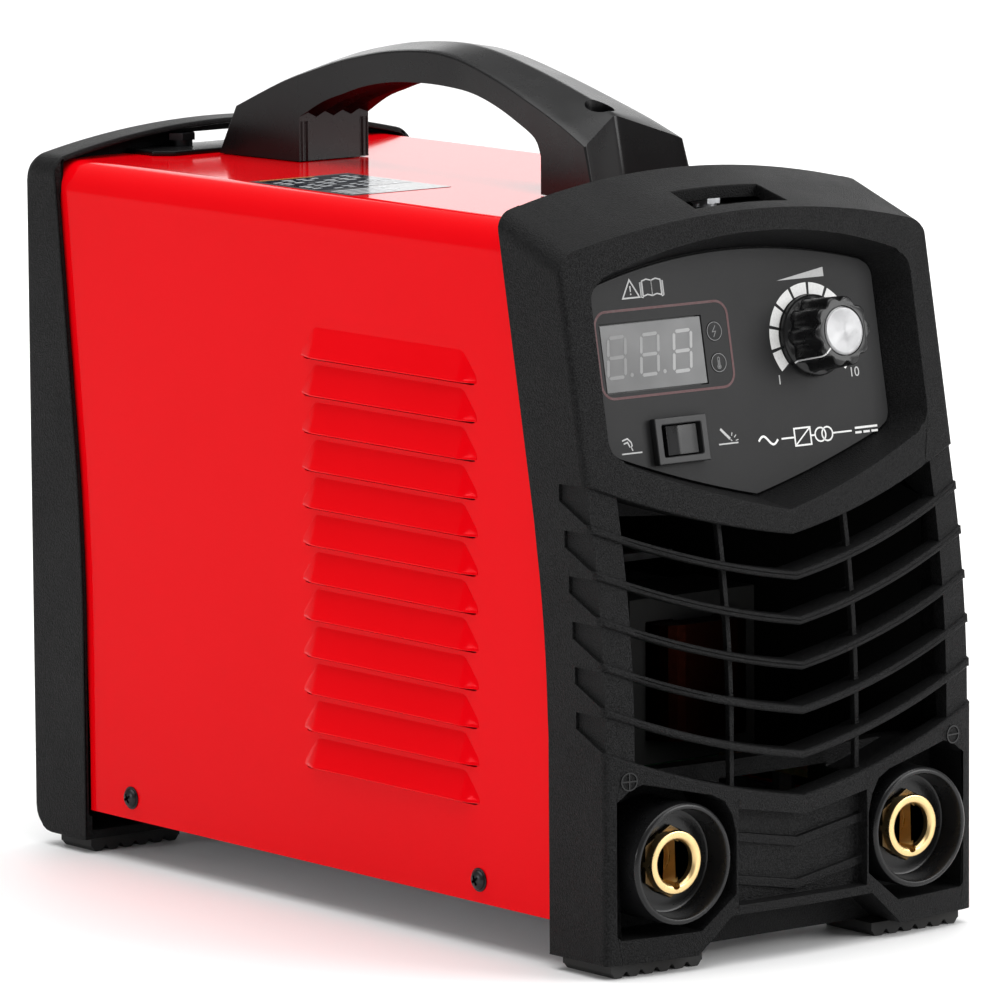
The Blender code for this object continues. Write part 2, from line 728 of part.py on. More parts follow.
def build_handle():
    """A crowned, waisted arch: each station gives an outer and an inner edge point (y, z)."""
    foot = COVER_TOP_Z + GAP
    stations = [((254.0, foot), (217.0, foot), 0.0, 0.0),
                ((246.5, 228.6), (217.0, 227.4), 0.4, 0.3),
                ((226.0, 236.9), (206.0, 232.8), 1.0, 0.8),
                ((208.0, 242.4), (196.0, 236.0), 1.0, 1.0),
                ((193.6, 246.2), (185.8, 238.9), 1.0, 1.0),
                ((175.0, 249.9), (172.0, 241.2), 1.0, 1.0),
                ((156.0, 251.6), (156.0, 242.0), 1.0, 1.0),
                ((143.0, 250.8), (143.0, 241.7), 1.0, 1.0),
                ((130.4, 248.3), (131.5, 240.6), 1.0, 1.0),
                ((114.0, 244.0), (120.0, 238.0), 1.0, 1.0),
                ((98.0, 239.5), (108.5, 234.2), 1.0, 0.8),
                ((83.3, 235.0), (98.5, 230.0), 1.0, 0.3),
                ((70.9, 230.4), (95.3, 225.0), 1.0, 0.0),
                ((66.0, foot), (95.3, foot), 0.0, 0.0)]
    crown = 3.0
    notch = 9.6
    ridges = ((1.0, 0.0), (0.74, 2.0), (0.5, -0.6), (0.36, 1.0), (0.18, -0.8), (0.0, 1.0))
    across = [-1.0, -0.6, -0.3, 0.0, 0.3, 0.6, 1.0]
    under = [(u, rise) for u, rise in ridges] + [(-u, rise) for u, rise in reversed(ridges[:-1])]
    loops = []
    for (outer_y, outer_z), (inner_y, inner_z), crown_share, ridge_share in stations:
        at_front = outer_y < 75
        loop = []
        for u in across:
            setback = notch * (1 - abs(u)) * crown_share if at_front else 0.0
            rise = crown * crown_share * (1 - u * u)
            if at_front:
                rise += 0.38 * setback
            loop.append((u * grip_half_width(outer_y), outer_y + setback, outer_z + rise))
        for u, rise in under:
            loop.append((u * grip_half_width(inner_y), inner_y, inner_z + rise * ridge_share))
        loops.append(loop)
    handle = loft("handle", loops, "black_textured")
    wells = bmesh.new()
    for y in HANDLE_SCREW_Y:
        add_rod(wells, (0, y, 221.5), (0, y, 260), 4.4, 20)
    boolean(handle, put("handle_screw_wells", wells, None))
    shanks = bmesh.new()
    for y in HANDLE_SCREW_Y:
        add_rod(shanks, (0, y, 200), (0, y, 228), 2.4, 12)
    boolean(handle, put("handle_screw_shafts", shanks, None))
    for y, end in zip(HANDLE_SCREW_Y, ("front", "rear")):
        profile = [(0, 3.4), (2.6, 3.0), (3.9, 1.6), (3.9, 0.0), (2.0, 0.0), (2.0, -19.0),
                   (0, -19.0)]
        turned(f"handle_screw_{end}", profile, "zinc_steel", 14, location=(0, y, 221.8))
    return handle


# ---------------------------------------------------------------- control panel
def panel_height(z):
    """Distance up the leaning panel for a point at height z."""
    return (z - PANEL_ORIGIN_Z) / math.cos(PANEL_TILT)


def panel_outline(half, top, bottom):
    loop = recess_loop(half, top, bottom, 0)
    return [(x, panel_height(z)) for x, _, z in loop]


def build_control_panel():
    """The flat fascia and everything mounted on it, in the panel's own leaning frame."""
    frame_y = lean(LEAN_FULL_Z) + PANEL_DEPTH
    frame = empty("panel_frame", (0, frame_y, PANEL_ORIGIN_Z), (-PANEL_TILT, 0, 0), MACHINE_FRAME)
    outline = panel_outline(53.0, 202.0, 132.4)
    panel = prism("control_panel", outline, "y", 0, PANEL_THICKNESS, "panel_film", parent=frame)
    build_display(frame, panel)
    build_knob(frame, panel)
    build_rocker_switch(frame, panel)
    board = box("display_board", (-50, 15.0, 12), (46, 16.4, 62), "board_green", parent=frame)
    shaft_hole = rod("board_shaft_hole", (KNOB_XZ[0], 0, panel_height(KNOB_XZ[1])),
                     (KNOB_XZ[0], 40, panel_height(KNOB_XZ[1])), 9.0, parent=frame)
    boolean(board, shaft_hole)
    x, h = SWITCH_XZ[0], panel_height(SWITCH_XZ[1])
    boolean(board, box("board_switch_hole", (x - 8.5, 0, h - 6.5), (x + 8.5, 40, h + 6.5),
                       parent=frame))
    return frame


def build_display(frame, panel):
    width, height = DISPLAY_SIZE
    x, h = DISPLAY_XZ[0], panel_height(DISPLAY_XZ[1])
    lo = (x - width / 2, h - height / 2)
    hi = (x + width / 2, h + height / 2)
    boolean(panel, box("display_cutout", (lo[0] - GAP, -5, lo[1] - GAP),
                       (hi[0] + GAP, 5, hi[1] + GAP), parent=frame))
    box("display_window", (lo[0], 0.2, lo[1]), (hi[0], 1.2, hi[1]), "display_grey", parent=frame)
    box("display_module", (lo[0] - 0.3, 1.6, lo[1] - 0.3), (hi[0] + 0.3, 9.6, hi[1] + 0.3),
        "black_smooth", parent=frame)
    for (lens_x, lens_z), name in zip(INDICATOR_XZ, ("power", "overheat")):
        lens_h = panel_height(lens_z)
        boolean(panel, rod(f"{name}_hole", (lens_x, -5, lens_h), (lens_x, 5, lens_h), 2.9, None, 24,
                           parent=frame))
        profile = [(0, 0.1), (2.6, 0.1), (2.6, -1.3), (1.5, -1.3), (1.5, -6.0), (0, -6.0)]
        turned(f"{name}_indicator", profile, "panel_film", 14, parent=frame,
               location=(lens_x, 0, lens_h), rotation=(math.pi / 2, 0, 0))


def knob_outline(radius, depth, count=40):
    points = []
    for i in range(count):
        angle = 2 * math.pi * i / count
        scoop = depth * (0.5 - 0.5 * math.cos(KNOB_LOBES * angle)) ** 2
        points.append(((radius - scoop) * math.cos(angle), (radius - scoop) * math.sin(angle)))
    return points


def build_knob(frame, panel):
    x, h = KNOB_XZ[0], panel_height(KNOB_XZ[1])
    axis = empty("knob_axis", (x, 0, h), (math.pi / 2, 0, 0), frame)
    boolean(panel, rod("shaft_hole", (x, -5, h), (x, 5, h), 3.8, None, 24, parent=frame))
    sections = ((0.5, KNOB_RADIUS, 0.0), (2.6, KNOB_RADIUS, 0.0), (3.4, 10.9, 1.0),
                (KNOB_HEIGHT, 10.3, 1.0))
    loops = []
    for height, radius, depth in sections:
        loops.append([(a, b, height) for a, b in knob_outline(radius, depth)])
    knob = loft("current_knob", loops, "black_smooth", parent=axis)
    boolean(knob, rod("knob_cap_seat", (0, 0, 14.2), (0, 0, 20), 7.4, parent=axis))
    boolean(knob, rod("knob_bore", (0, 0, -2), (0, 0, 11.5), 3.3, None, 24, parent=axis))
    cap = [(0, 15.4), (6.7, 15.4), (7.1, 15.0), (7.1, 14.5), (0, 14.5)]
    turned("knob_cap", cap, "spun_aluminium", 32, parent=axis)
    shaft = [(0, 11.2), (3.0, 11.2), (3.0, -9.7), (0, -9.7)]
    turned("potentiometer_shaft", shaft, "zinc_steel", 24, parent=axis)
    hex_nut("potentiometer_nut", 5.6, 3.4, -3.6, -PANEL_THICKNESS - 0.3, "brass", axis)
    build_potentiometer(axis)


def build_potentiometer(axis):
    """The potentiometer's can, open at the front where the shaft goes in."""
    can = rod("potentiometer_body", (0, 0, -13.8), (0, 0, -4.0), 8.4, "zinc_steel", 32,
              parent=axis)
    boolean(can, rod("potentiometer_bore", (0, 0, -10.0), (0, 0, 0), 3.4, None, 24, parent=axis))


def build_rocker_switch(frame, panel):
    x, h = SWITCH_XZ[0], panel_height(SWITCH_XZ[1])
    boolean(panel, box("switch_cutout", (x - 8.2, -5, h - 5.6), (x + 8.2, 5, h + 5.6),
                       parent=frame))
    body = box("mode_switch_body", (x - 9.6, -2.6, h - 6.75), (x + 9.6, -GAP, h + 6.75),
               "black_smooth", parent=frame)
    boolean(body, box("switch_stem", (x - 7.9, -1.0, h - 5.3), (x + 7.9, 14.5, h + 5.3),
                      parent=frame), "UNION")
    boolean(body, box("switch_well", (x - 7.15, -6, h - 4.6), (x + 7.15, 10, h + 4.6),
                      parent=frame))
    axis = empty("mode_switch_axis", (x, 2.2, h), (0, 0, 0), frame)
    build_rocker("mode_switch_rocker", axis, 6.3, 4.3, -4.0, 1.4)


def build_rocker(name, axis, half_length, half_height, face, dip):
    """A two-sided rocker paddle that tips about the vertical axis through its own origin."""
    tilt = math.radians(ROCKER_TRAVEL / 2)
    outline = []
    for a, b in [(-half_length, face), (0, face + dip), (half_length, face),
                 (half_length * 0.72, 2.6), (-half_length * 0.72, 2.6)]:
        outline.append((a * math.cos(tilt) - b * math.sin(tilt),
                        a * math.sin(tilt) + b * math.cos(tilt)))
    return prism(name, outline, "z", -half_height, half_height, "black_smooth", parent=axis)


# ---------------------------------------------------------------- sockets
def build_socket(side):
    hand = "negative" if side > 0 else "positive"
    at = empty(f"{hand}_socket_axis", (side * SOCKET_X, 0, SOCKET_Z), (math.pi / 2, 0, 0),
               MACHINE_FRAME)
    rim = SOCKET_RIM_OUT
    housing = [(SOCKET_RADIUS, rim), (SOCKET_RADIUS, -POCKET_FLOOR_Y + 0.4),
               (14.5, -POCKET_FLOOR_Y + 0.4), (14.5, -22.5), (9.8, -22.5), (9.8, -2.6),
               (15.3, -2.6), (16.2, rim)]
    turned(f"{hand}_socket_housing", housing, "black_smooth", 28, parent=at)
    ring = [(19.5, -17.2), (19.5, -21.8), (14.8, -21.8), (14.8, -17.2)]
    turned(f"{hand}_socket_nut", ring, "black_smooth", 20, parent=at)
    insert = rod(f"{hand}_socket_insert", (0, 0, -30), (0, 0, 2.0), INSERT_RADIUS, "brass", 32,
                 parent=at)
    hexagon = ring_points(11.5, 6, math.pi / 2)
    boolean(insert, prism(f"{hand}_hexagon", hexagon, "z", -2.3, -0.5, parent=at), "UNION")
    boolean(insert, rod(f"{hand}_bore", (0, 0, -22), (0, 0, 8), BORE_RADIUS, None, 28, parent=at))
    boolean(insert, rod(f"{hand}_key", (0, -BORE_RADIUS, -18), (0, -BORE_RADIUS, 8), 1.5, None, 12,
                        parent=at))
    bar_half = 9.0
    outline = [(30.6, 23), (32.8, 23), (32.8, 42.2), (76, 42.2), (76, 44.2), (30.6, 44.2)]
    centre = side * SOCKET_X
    prism(f"{hand}_busbar", outline, "x", centre - bar_half, centre + bar_half, "copper")


# ---------------------------------------------------------------- feet
def build_feet():
    """Ridged feet; the ridges run front to back and have flat tips to stand on."""
    pitch = 5.6
    ridge_count = 6
    inner = 32.0
    top = FLOOR_TO_BEZEL - GAP
    root = 1.6
    tip = 3.0
    for side, hand in ((-1, "left"), (1, "right")):
        for (near, far), end in (((2.0, 24.0), "front"), ((258.0, 274.0), "rear")):
            outline = [(inner, top)]
            for i in range(ridge_count):
                start = inner + i * pitch
                outline += [(start, root), (start + (pitch - tip) / 2, 0.0),
                            (start + (pitch + tip) / 2, 0.0)]
            outline += [(inner + ridge_count * pitch, root), (inner + ridge_count * pitch, top)]
            prism(f"foot_{end}_{hand}", [(side * x, z) for x, z in outline], "y", near, far,
                  "rubber")


# ---------------------------------------------------------------- rear fittings
def build_power_switch():
    x, z = POWER_SWITCH_XZ
    face = REAR_FACE_Y - REAR_RECESS
    body = box("power_switch_body", (x - 15.2, face + GAP, z - 11.2),
               (x + 15.2, face + 2.6, z + 11.2), "black_smooth")
    stem = box("power_stem", (x - 13.4, 256, z - 9.9), (x + 13.4, face + 1, z + 9.9))
    boolean(body, stem, "UNION")
    boolean(body, box("power_well", (x - 11.6, 261, z - 8.1), (x + 11.6, 300, z + 8.1)))
    axis = empty("power_switch_axis", (x, face - 2.4, z), (0, 0, 0), MACHINE_FRAME)
    tilt = math.radians(-ROCKER_TRAVEL / 2)
    outline = []
    for a, b in [(-11.0, 4.6), (0, 3.0), (11.0, 4.6), (8.0, -3.4), (-8.0, -3.4)]:
        outline.append((a * math.cos(tilt) - b * math.sin(tilt),
                        a * math.sin(tilt) + b * math.cos(tilt)))
    prism("power_switch_rocker", outline, "z", -7.7, 7.7, "black_smooth", parent=axis)


def build_gland():
    """Cable gland with an open bore for the mains lead, and its locknut inside."""
    x, z = GLAND_XZ
    face = REAR_FACE_Y - REAR_RECESS
    out = GLAND_END_Y - face
    at = empty("gland_axis", (x, face, z), (-math.pi / 2, 0, 0), MACHINE_FRAME)
    profile = [(8.0, out), (11.0, out - 1.6), (11.6, 5.4), (12.6, 5.0), (12.6, 0.4), (9.8, 0.4),
               (9.8, -12.0), (5.6, -12.0), (5.6, out - 1.0), (6.4, out)]
    turned("cord_gland", profile, "black_smooth", 24, parent=at)
    hex_nut("gland_locknut", 14.0, 10.1, -8.0, -REAR_WALL - 0.3, "black_smooth", at)
    x, z = EARTH_XZ
    screw = [(0, 3.2), (3.0, 3.2), (5.0, 2.4), (5.0, 0.3), (2.9, 0.3), (2.9, -9.0), (0, -9.0)]
    turned("earth_screw", screw, "brass", 14, location=(x, face, z), rotation=(-math.pi / 2, 0, 0))


def build_fan():
    rear = REAR_FACE_Y - REAR_RECESS - REAR_WALL - GAP
    front = rear - FAN_DEPTH
    half = FAN_SIZE / 2
    frame = prism("fan_frame", [(a, b + FAN_Z) for a, b in rounded_rectangle(half, half, 5, 3)],
                  "y", front, rear, "fan_black")
    boolean(frame, rod("fan_bore", (0, front - 5, FAN_Z), (0, rear + 5, FAN_Z), FAN_BORE, None, 36))
    struts = bmesh.new()
    add_rod(struts, (0, front + 0.4, FAN_Z), (0, front + 3.4, FAN_Z), 17, 24)
    boolean(frame, put("fan_motor_plate", struts, None), "UNION")
    for i in range(3):
        angle = math.radians(90 + 120 * i)
        strut = box(f"fan_strut_{i + 1}", (12, front + 0.7, -2), (FAN_BORE + 1, front + 3.0, 2),
                    location=(0, 0, FAN_Z), rotation=(0, angle, 0))
        boolean(frame, strut, "UNION")
    centre_y = (front + rear) / 2
    hub_half = 8.5
    axis = empty("fan_axis", (0, centre_y, FAN_Z), (math.pi / 2, 0, 0), MACHINE_FRAME)
    rotor = rod("fan_rotor", (0, 0, -hub_half), (0, 0, hub_half), 18, "fan_black", 32, parent=axis)
    boolean(rotor, fan_blades(axis), "UNION")


def fan_blades(axis):
    bm = bmesh.new()
    blades = 7
    for k in range(blades):
        spin = Matrix.Rotation(2 * math.pi * k / blades, 4, "Z")
        loops = []
        for radius, pitch, chord in ((16, 52, 17), (25, 42, 20), (34, 34, 23), (43, 28, 25)):
            angle = math.radians(pitch)
            loop = []
            for along, thick in ((-0.5, 0.0), (-0.2, 0.8), (0.2, 0.8), (0.5, 0.0),
                                 (0.2, -0.8), (-0.2, -0.8)):
                camber = 2.4 * (0.25 - along * along)
                a = chord * along
                b = thick + camber
                sweep = a * math.cos(angle) - b * math.sin(angle)
                rise = a * math.sin(angle) + b * math.cos(angle)
                turn = sweep / radius
                loop.append(spin @ Vector((radius * math.cos(turn), radius * math.sin(turn), rise)))
            loops.append(loop)
        add_loft(bm, loops)
    return put("fan_blades", bm, None, parent=axis)


# ---------------------------------------------------------------- electronics
def build_strap_posts():
    """Hexagonal steel spacers that a shoulder strap loops around."""
    places = (("front", 0.0, 38.5, STRAP_SHELF_Z + GAP, 217.2),
              ("rear_left", -22.0, 271.0, COVER_TOP_Z + GAP, 219.1),
              ("rear_right", 22.0, 271.0, COVER_TOP_Z + GAP, 219.1))
    for end, x, y, low, high in places:
        outline = [(x + a, y + b) for a, b in ring_points(4.6, 6)]
        prism(f"strap_post_{end}", outline, "z", low, high, "zinc_steel")


def build_electronics():
    top = BOARD_Z + BOARD_THICKNESS + GAP
    box("main_board", (-60, 62, BOARD_Z), (60, 246, BOARD_Z + BOARD_THICKNESS), "board_green")
    number = 1
    for x in (-54, 54):
        for y in (68, 240):
            start = TRAY_Z + TRAY_SHEET + GAP
            rod(f"board_standoff_{number}", (x, y, start), (x, y, BOARD_Z - GAP), 3.6,
                "zinc_steel", 6)
            number += 1
    build_heatsink("heatsink_left", -57, -9, top)
    build_heatsink("heatsink_right", 9, 57, top)
    box("control_board", (-0.8, 126, top), (0.8, 210, top + 66), "board_green")
    core = [(8, top), (56, top), (56, top + 50), (8, top + 50)]
    frame = prism("transformer_core", core, "y", 84, 112, "ferrite")
    windows = bmesh.new()
    for low, high in ((14, 24.5), (39.5, 50)):
        add_box(windows, (low, 70, top + 7), (high, 120, top + 43))
    boolean(frame, put("core_windows", windows, None))
    winding = prism("transformer_winding", rounded_rectangle(17, 23, 7), "z", top + 7.5, top + 42.5,
                    "winding", location=(32, 98, 0))
    boolean(winding, box("winding_bore", (-8, -14.5, 0), (8, 14.5, 200), location=(32, 98, 0)))
    inductor = [(22 + 11.5 * math.cos(a), 11.5 * math.sin(a))
                for a in [-2 * math.pi * i / 10 for i in range(10)]]
    turned("output_inductor", inductor, "winding", 24, location=(-26, 98, top + 34),
           rotation=(math.pi / 2, 0, 0))
    for i, x in enumerate((-36, 0, 36)):
        rod(f"bus_capacitor_{i + 1}", (x, 230, top), (x, 230, top + 48), 14, "capacitor_blue", 32)


def build_heatsink(name, left, right, base_z):
    """Extruded heatsink: a thick upright spine with level fins on both sides."""
    centre = (left + right) / 2
    spine = 2.5
    fins = 7
    top = 58.0
    pitch = (top - 4) / (fins - 1)
    right_side = []
    for i in range(fins):
        low = i * pitch
        right_side += [(spine, low), (right - centre, low), (right - centre, low + 2.2),
                       (spine, low + 2.2)]
    left_side = [(-a, b) for a, b in reversed(right_side)]
    outline = [(centre + a, base_z + b) for a, b in right_side + left_side]
    prism(name, outline, "y", 124, 212, "aluminium")


# ---------------------------------------------------------------- build
clear_scene()
PARTS = new_collection("stick_welding_inverter")
CUTTERS = new_collection("cutters")
make_palette()
MACHINE_FRAME = empty("machine_frame", (0, -MACHINE_CENTRE_Y, 0))

build_front_bezel()
build_rear_bezel()
build_cover()
build_tray()
build_cover_screws()
build_handle()
build_control_panel()
for socket_side in (-1, 1):
    build_socket(socket_side)
build_feet()
build_power_switch()
build_gland()
build_fan()
build_strap_posts()
build_electronics()
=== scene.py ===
"""Looks of a portable stick welding inverter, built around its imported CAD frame.

Shapes are written in millimetres in the machine's own frame: +X is its right seen from the
front, +Y runs backwards from the front face's lower edge, +Z is up. put() turns them into
metres in the frame's coordinates.
"""
import json
import math
import bmesh
import bpy
from mathutils import Matrix, Vector


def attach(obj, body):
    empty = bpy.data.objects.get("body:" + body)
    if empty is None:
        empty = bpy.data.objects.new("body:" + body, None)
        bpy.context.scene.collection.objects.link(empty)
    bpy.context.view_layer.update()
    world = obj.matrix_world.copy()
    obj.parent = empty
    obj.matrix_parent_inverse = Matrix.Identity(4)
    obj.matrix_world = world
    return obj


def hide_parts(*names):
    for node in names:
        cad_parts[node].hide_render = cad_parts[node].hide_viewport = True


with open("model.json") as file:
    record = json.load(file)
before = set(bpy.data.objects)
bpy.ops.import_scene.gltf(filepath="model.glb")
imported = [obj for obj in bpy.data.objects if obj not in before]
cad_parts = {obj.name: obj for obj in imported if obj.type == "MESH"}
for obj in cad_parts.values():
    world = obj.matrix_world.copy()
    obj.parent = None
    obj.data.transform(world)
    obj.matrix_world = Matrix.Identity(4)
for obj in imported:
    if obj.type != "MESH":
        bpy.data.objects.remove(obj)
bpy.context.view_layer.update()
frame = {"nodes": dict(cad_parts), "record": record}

MM = 0.001
SHIFT_Y = -143.75              # machine frame's y to the CAD frame's y
ROOT = "machine"

# ---------------------------------------------------------------- body curves
HALF_WIDTH = 69.0
FRONT_BOW = 6.0
REAR_FACE_Y = 283.5
FLOOR_TO_BEZEL = 4.3
LEAN_START_Z = 66.0
LEAN_FULL_Z = 130.0
LEAN_CURVE = 0.0015
LEAN_SLOPE = 2 * LEAN_CURVE * (LEAN_FULL_Z - LEAN_START_Z)
CREST_Z = 224.6
CREASE_Z = 214.9
REAR_CREST_Z = 222.7
ARCH = 0.0019
REAR_ARCH = 0.0018
TOP_CORNER_RADIUS = 5.0
CREASE_CORNER_RADIUS = 6.0
FLANGE_DEPTH = 26.0
REAR_FLANGE_Y = 256.0
REAR_LEAN_SHARE = 0.55
REBATE_DEPTH = 7.0
GRILLE_HALF = 58.5
GRILLE_DEPTH = 14
RIB_PITCH = 12.93
RIB_HEIGHT = 2.5
RIB_COUNT = 5
LOWER_FRAME_Z = 47.1
LIP_Z = 122.3
BAND_RECESS = 1.0
DIVIDER_X = 23.5
PANEL_TILT = math.atan(LEAN_SLOPE)
PANEL_DEPTH = 8.6
PANEL_THICKNESS = 1.2
COVER_HALF = 66.8
COVER_TOP_Z = 213.5
COVER_BOTTOM_Z = 13.7

# ---------------------------------------------------------------- places of the fittings
SIDES = ((-1, "left"), (1, "right"))
SOCKET_X, SOCKET_Z = 44.5, 32.0
MARK_Z = 57.3
SIDE_SCREWS = (("front", 61.2), ("rear", 234.4))
SIDE_SCREW_Z = 20.5
GRIP_SCREWS = (("front", 87.0), ("rear", 235.0))
LOUVRE_COUNT, LOUVRE_PITCH, LOUVRE_FIRST_Z = 12, 11.16, 42.8
LOUVRE_START_Y, LOUVRE_LENGTH = 61.0, 145.0
LOUVRE_REACH, LOUVRE_HEIGHT = 2.18, 10.3
DISPLAY_X, DISPLAY_Z = -31.5, 174.7
DISPLAY_HALF = (18.5, 9.7)
INDICATORS = (("power", -8.5, 179.5), ("overheat", -8.2, 170.5))
DIAL_X, DIAL_Z = 27.4, 175.3
DIAL_START = 219               # degrees; the scale begins and the index line points here
DIAL_BLOCKS = 10
MODE_X, MODE_Z = -26.8, 150.1
REAR_PANEL_Y = REAR_FACE_Y - 4
MAINS_X, MAINS_Z = -28.0, 160.0
GLAND_X, GLAND_Z = 28.0, 160.0
EARTH_X, EARTH_Z = 50.5, 23.0
FAN_Z = 76.0


def lean(z):
    if z <= LEAN_START_Z:
        return 0.0
    if z <= LEAN_FULL_Z:
        return LEAN_CURVE * (z - LEAN_START_Z) ** 2
    return LEAN_CURVE * (LEAN_FULL_Z - LEAN_START_Z) ** 2 + LEAN_SLOPE * (z - LEAN_FULL_Z)


def lean_plane(z):
    return lean(LEAN_FULL_Z) + LEAN_SLOPE * (z - LEAN_FULL_Z)


def bow(x):
    return FRONT_BOW * (1 - min(1.0, abs(x) / HALF_WIDTH) ** 2)


def front_y(x, z):
    return lean(z) - bow(x)


def flange_y(z):
    return FLANGE_DEPTH + lean(z)


def rear_flange_y(z):
    return REAR_FLANGE_Y + REAR_LEAN_SHARE * lean(z)


def corner_drop(x, radius):
    """How far a rounded corner falls below the straight edge at x."""
    past = abs(x) - (HALF_WIDTH - radius)
    return 0.0 if past <= 0 else radius - math.sqrt(max(0.0, radius ** 2 - past ** 2))


def chevron(x):
    return 0.155 * abs(x) + 0.0018 * x * x


def spread(low, high, step):
    count = max(1, round((high - low) / step))
    return [low + (high - low) * i / count for i in range(count + 1)]


def mirrored(values):
    return [-x for x in reversed(values) if x] + list(values)


def columns(half, step=4.0, corner=(62.0, 63.5, 65.0, 66.3, 67.5, 68.2, 68.7)):
    return mirrored([x for x in spread(0, 60, step) if x < half]
                    + [x for x in corner if x < half - 0.2] + [half])


# ---------------------------------------------------------------- mesh helpers
def link(name, data):
    obj = bpy.data.objects.new(name, data)
    bpy.context.scene.collection.objects.link(obj)
    return obj


def solid(bm):
    """Turns a working mesh into an object whose faces look outwards."""
    bmesh.ops.recalc_face_normals(bm, faces=bm.faces)
    mesh = bpy.data.meshes.new("solid")
    bm.to_mesh(mesh)
    bm.free()
    return link("solid", mesh)


def made(add, *values):
    """A new object holding what one of the add_ functions makes."""
    bm = bmesh.new()
    add(bm, *values)
    return solid(bm)


def remove(obj):
    mesh = obj.data
    bpy.data.objects.remove(obj, do_unlink=True)
    if mesh.users == 0:
        bpy.data.meshes.remove(mesh)


def bake(obj):
    """Replaces the mesh with its modified version and drops the modifiers."""
    bpy.context.view_layer.update()
    evaluated = obj.evaluated_get(bpy.context.evaluated_depsgraph_get())
    mesh = bpy.data.meshes.new_from_object(evaluated)
    old = obj.data
    obj.modifiers.clear()
    obj.data = mesh
    if old.users == 0:
        bpy.data.meshes.remove(old)
    return obj


def cut(target, *tools, operation="DIFFERENCE"):
    for tool in tools:
        modifier = target.modifiers.new("cut", "BOOLEAN")
        modifier.operation = operation
        modifier.solver = "EXACT"
        modifier.object = tool
        bake(target)
        remove(tool)
    return target


def join(target, *tools):
    return cut(target, *tools, operation="UNION")


def add_loft(bm, loops, cyclic=False):
    """Skins closed loops of points; both ends are capped unless the last meets the first."""
    rings = [[bm.verts.new(point) for point in loop] for loop in loops]
    count = len(rings[0])
    for near, far in zip(rings, rings[1:] + rings[:1] if cyclic else rings[1:]):
        for i in range(count):
            j = (i + 1) % count
            bm.faces.new((near[i], near[j], far[j], far[i]))
    if not cyclic:
        bm.faces.new(list(reversed(rings[0])))
        bm.faces.new(rings[-1])


def loft(loops, cyclic=False):
    return made(add_loft, loops, cyclic)


def add_prism(bm, outline, axis, start, end):
    build = {"x": lambda a, b, t: (t, a, b), "y": lambda a, b, t: (a, t, b),
             "z": lambda a, b, t: (a, b, t)}[axis]
    add_loft(bm, [[build(a, b, t) for a, b in outline] for t in (start, end)])


def prism(outline, axis, start, end):
    return made(add_prism, outline, axis, start, end)


def add_box(bm, low, high):
    size = Vector(high) - Vector(low)
    place = Matrix.Translation((Vector(high) + Vector(low)) / 2)
    bmesh.ops.create_cube(bm, size=1.0, matrix=place @ Matrix.Diagonal((*size, 1.0)))


def box(low, high):
    return made(add_box, low, high)


def upright_box(x, z, half_x, half_z, near, far):
    """A box centred on x and z that reaches from near to far along y."""
    return box((x - half_x, near, z - half_z), (x + half_x, far, z + half_z))


def add_rod(bm, start, end, radius, segments=48):
    axis = Vector(end) - Vector(start)
    turn = axis.to_track_quat("Z", "Y").to_matrix().to_4x4()
    place = Matrix.Translation((Vector(start) + Vector(end)) / 2) @ turn
    bmesh.ops.create_cone(bm, cap_ends=True, segments=segments, radius1=radius, matrix=place,
                          radius2=radius, depth=axis.length)


def bore(target, axis, centre, start, end, radius, segments=48):
    """Cuts a round hole along an axis; centre holds the other two coordinates."""
    points = []
    for along in (start, end):
        point = list(centre)
        point.insert("xyz".index(axis), along)
        points.append(point)
    return cut(target, made(add_rod, *points, radius, segments))


def sweep(start, end, steps):
    """Angles in radians from start to end, both in degrees."""
    return [math.radians(start + (end - start) * i / steps) for i in range(steps + 1)]


def sector(inner, outer, angles):
    """Outline of a part of a flat ring."""
    return ([(outer * math.cos(a), outer * math.sin(a)) for a in angles]
            + [(inner * math.cos(a), inner * math.sin(a)) for a in reversed(angles)])


def rectangle(left, low, right, high):
    return [(left, low), (right, low), (right, high), (left, high)]


def moved(points, x, z, turn=0.0):
    c, s = math.cos(turn), math.sin(turn)
    return [(x + a * c - b * s, z + a * s + b * c) for a, b in points]


def ring(radius, count, phase=0.0):
    return [(radius * math.cos(phase + 2 * math.pi * i / count),
             radius * math.sin(phase + 2 * math.pi * i / count)) for i in range(count)]


def rounded(half_a, half_b, radius, steps):
    points = []
    for sign_a, sign_b, start in ((1, 1, 0), (-1, 1, 90), (-1, -1, 180), (1, -1, 270)):
        points += [(sign_a * (half_a - radius) + radius * math.cos(a),
                    sign_b * (half_b - radius) + radius * math.sin(a))
                   for a in sweep(start, start + 90, steps)]
    return points


def lathe(profile, steps, closed=False):
    """Spins (radius, height) points about local Z; ends on the axis are closed to a point."""
    bm = bmesh.new()
    rings = []
    for radius, height in profile:
        if radius < 1e-6:
            rings.append([bm.verts.new((0, 0, height))] * steps)
        else:
            rings.append([bm.verts.new((a, b, height)) for a, b in ring(radius, steps)])
    pairs = list(zip(rings, rings[1:]))
    if closed:
        pairs.append((rings[-1], rings[0]))
    for near, far in pairs:
        for i in range(steps):
            j = (i + 1) % steps
            corners = list(dict.fromkeys((near[i], near[j], far[j], far[i])))
            if len(corners) > 2:
                bm.faces.new(corners)
    return solid(bm)


def place(obj, location=(0, 0, 0), rotation=None):
    """Moves a local millimetre mesh into the machine frame, still in millimetres."""
    matrix = Matrix.Translation(location)
    if rotation is not None:
        matrix = matrix @ rotation.to_4x4()
    obj.data.transform(matrix)
    return obj


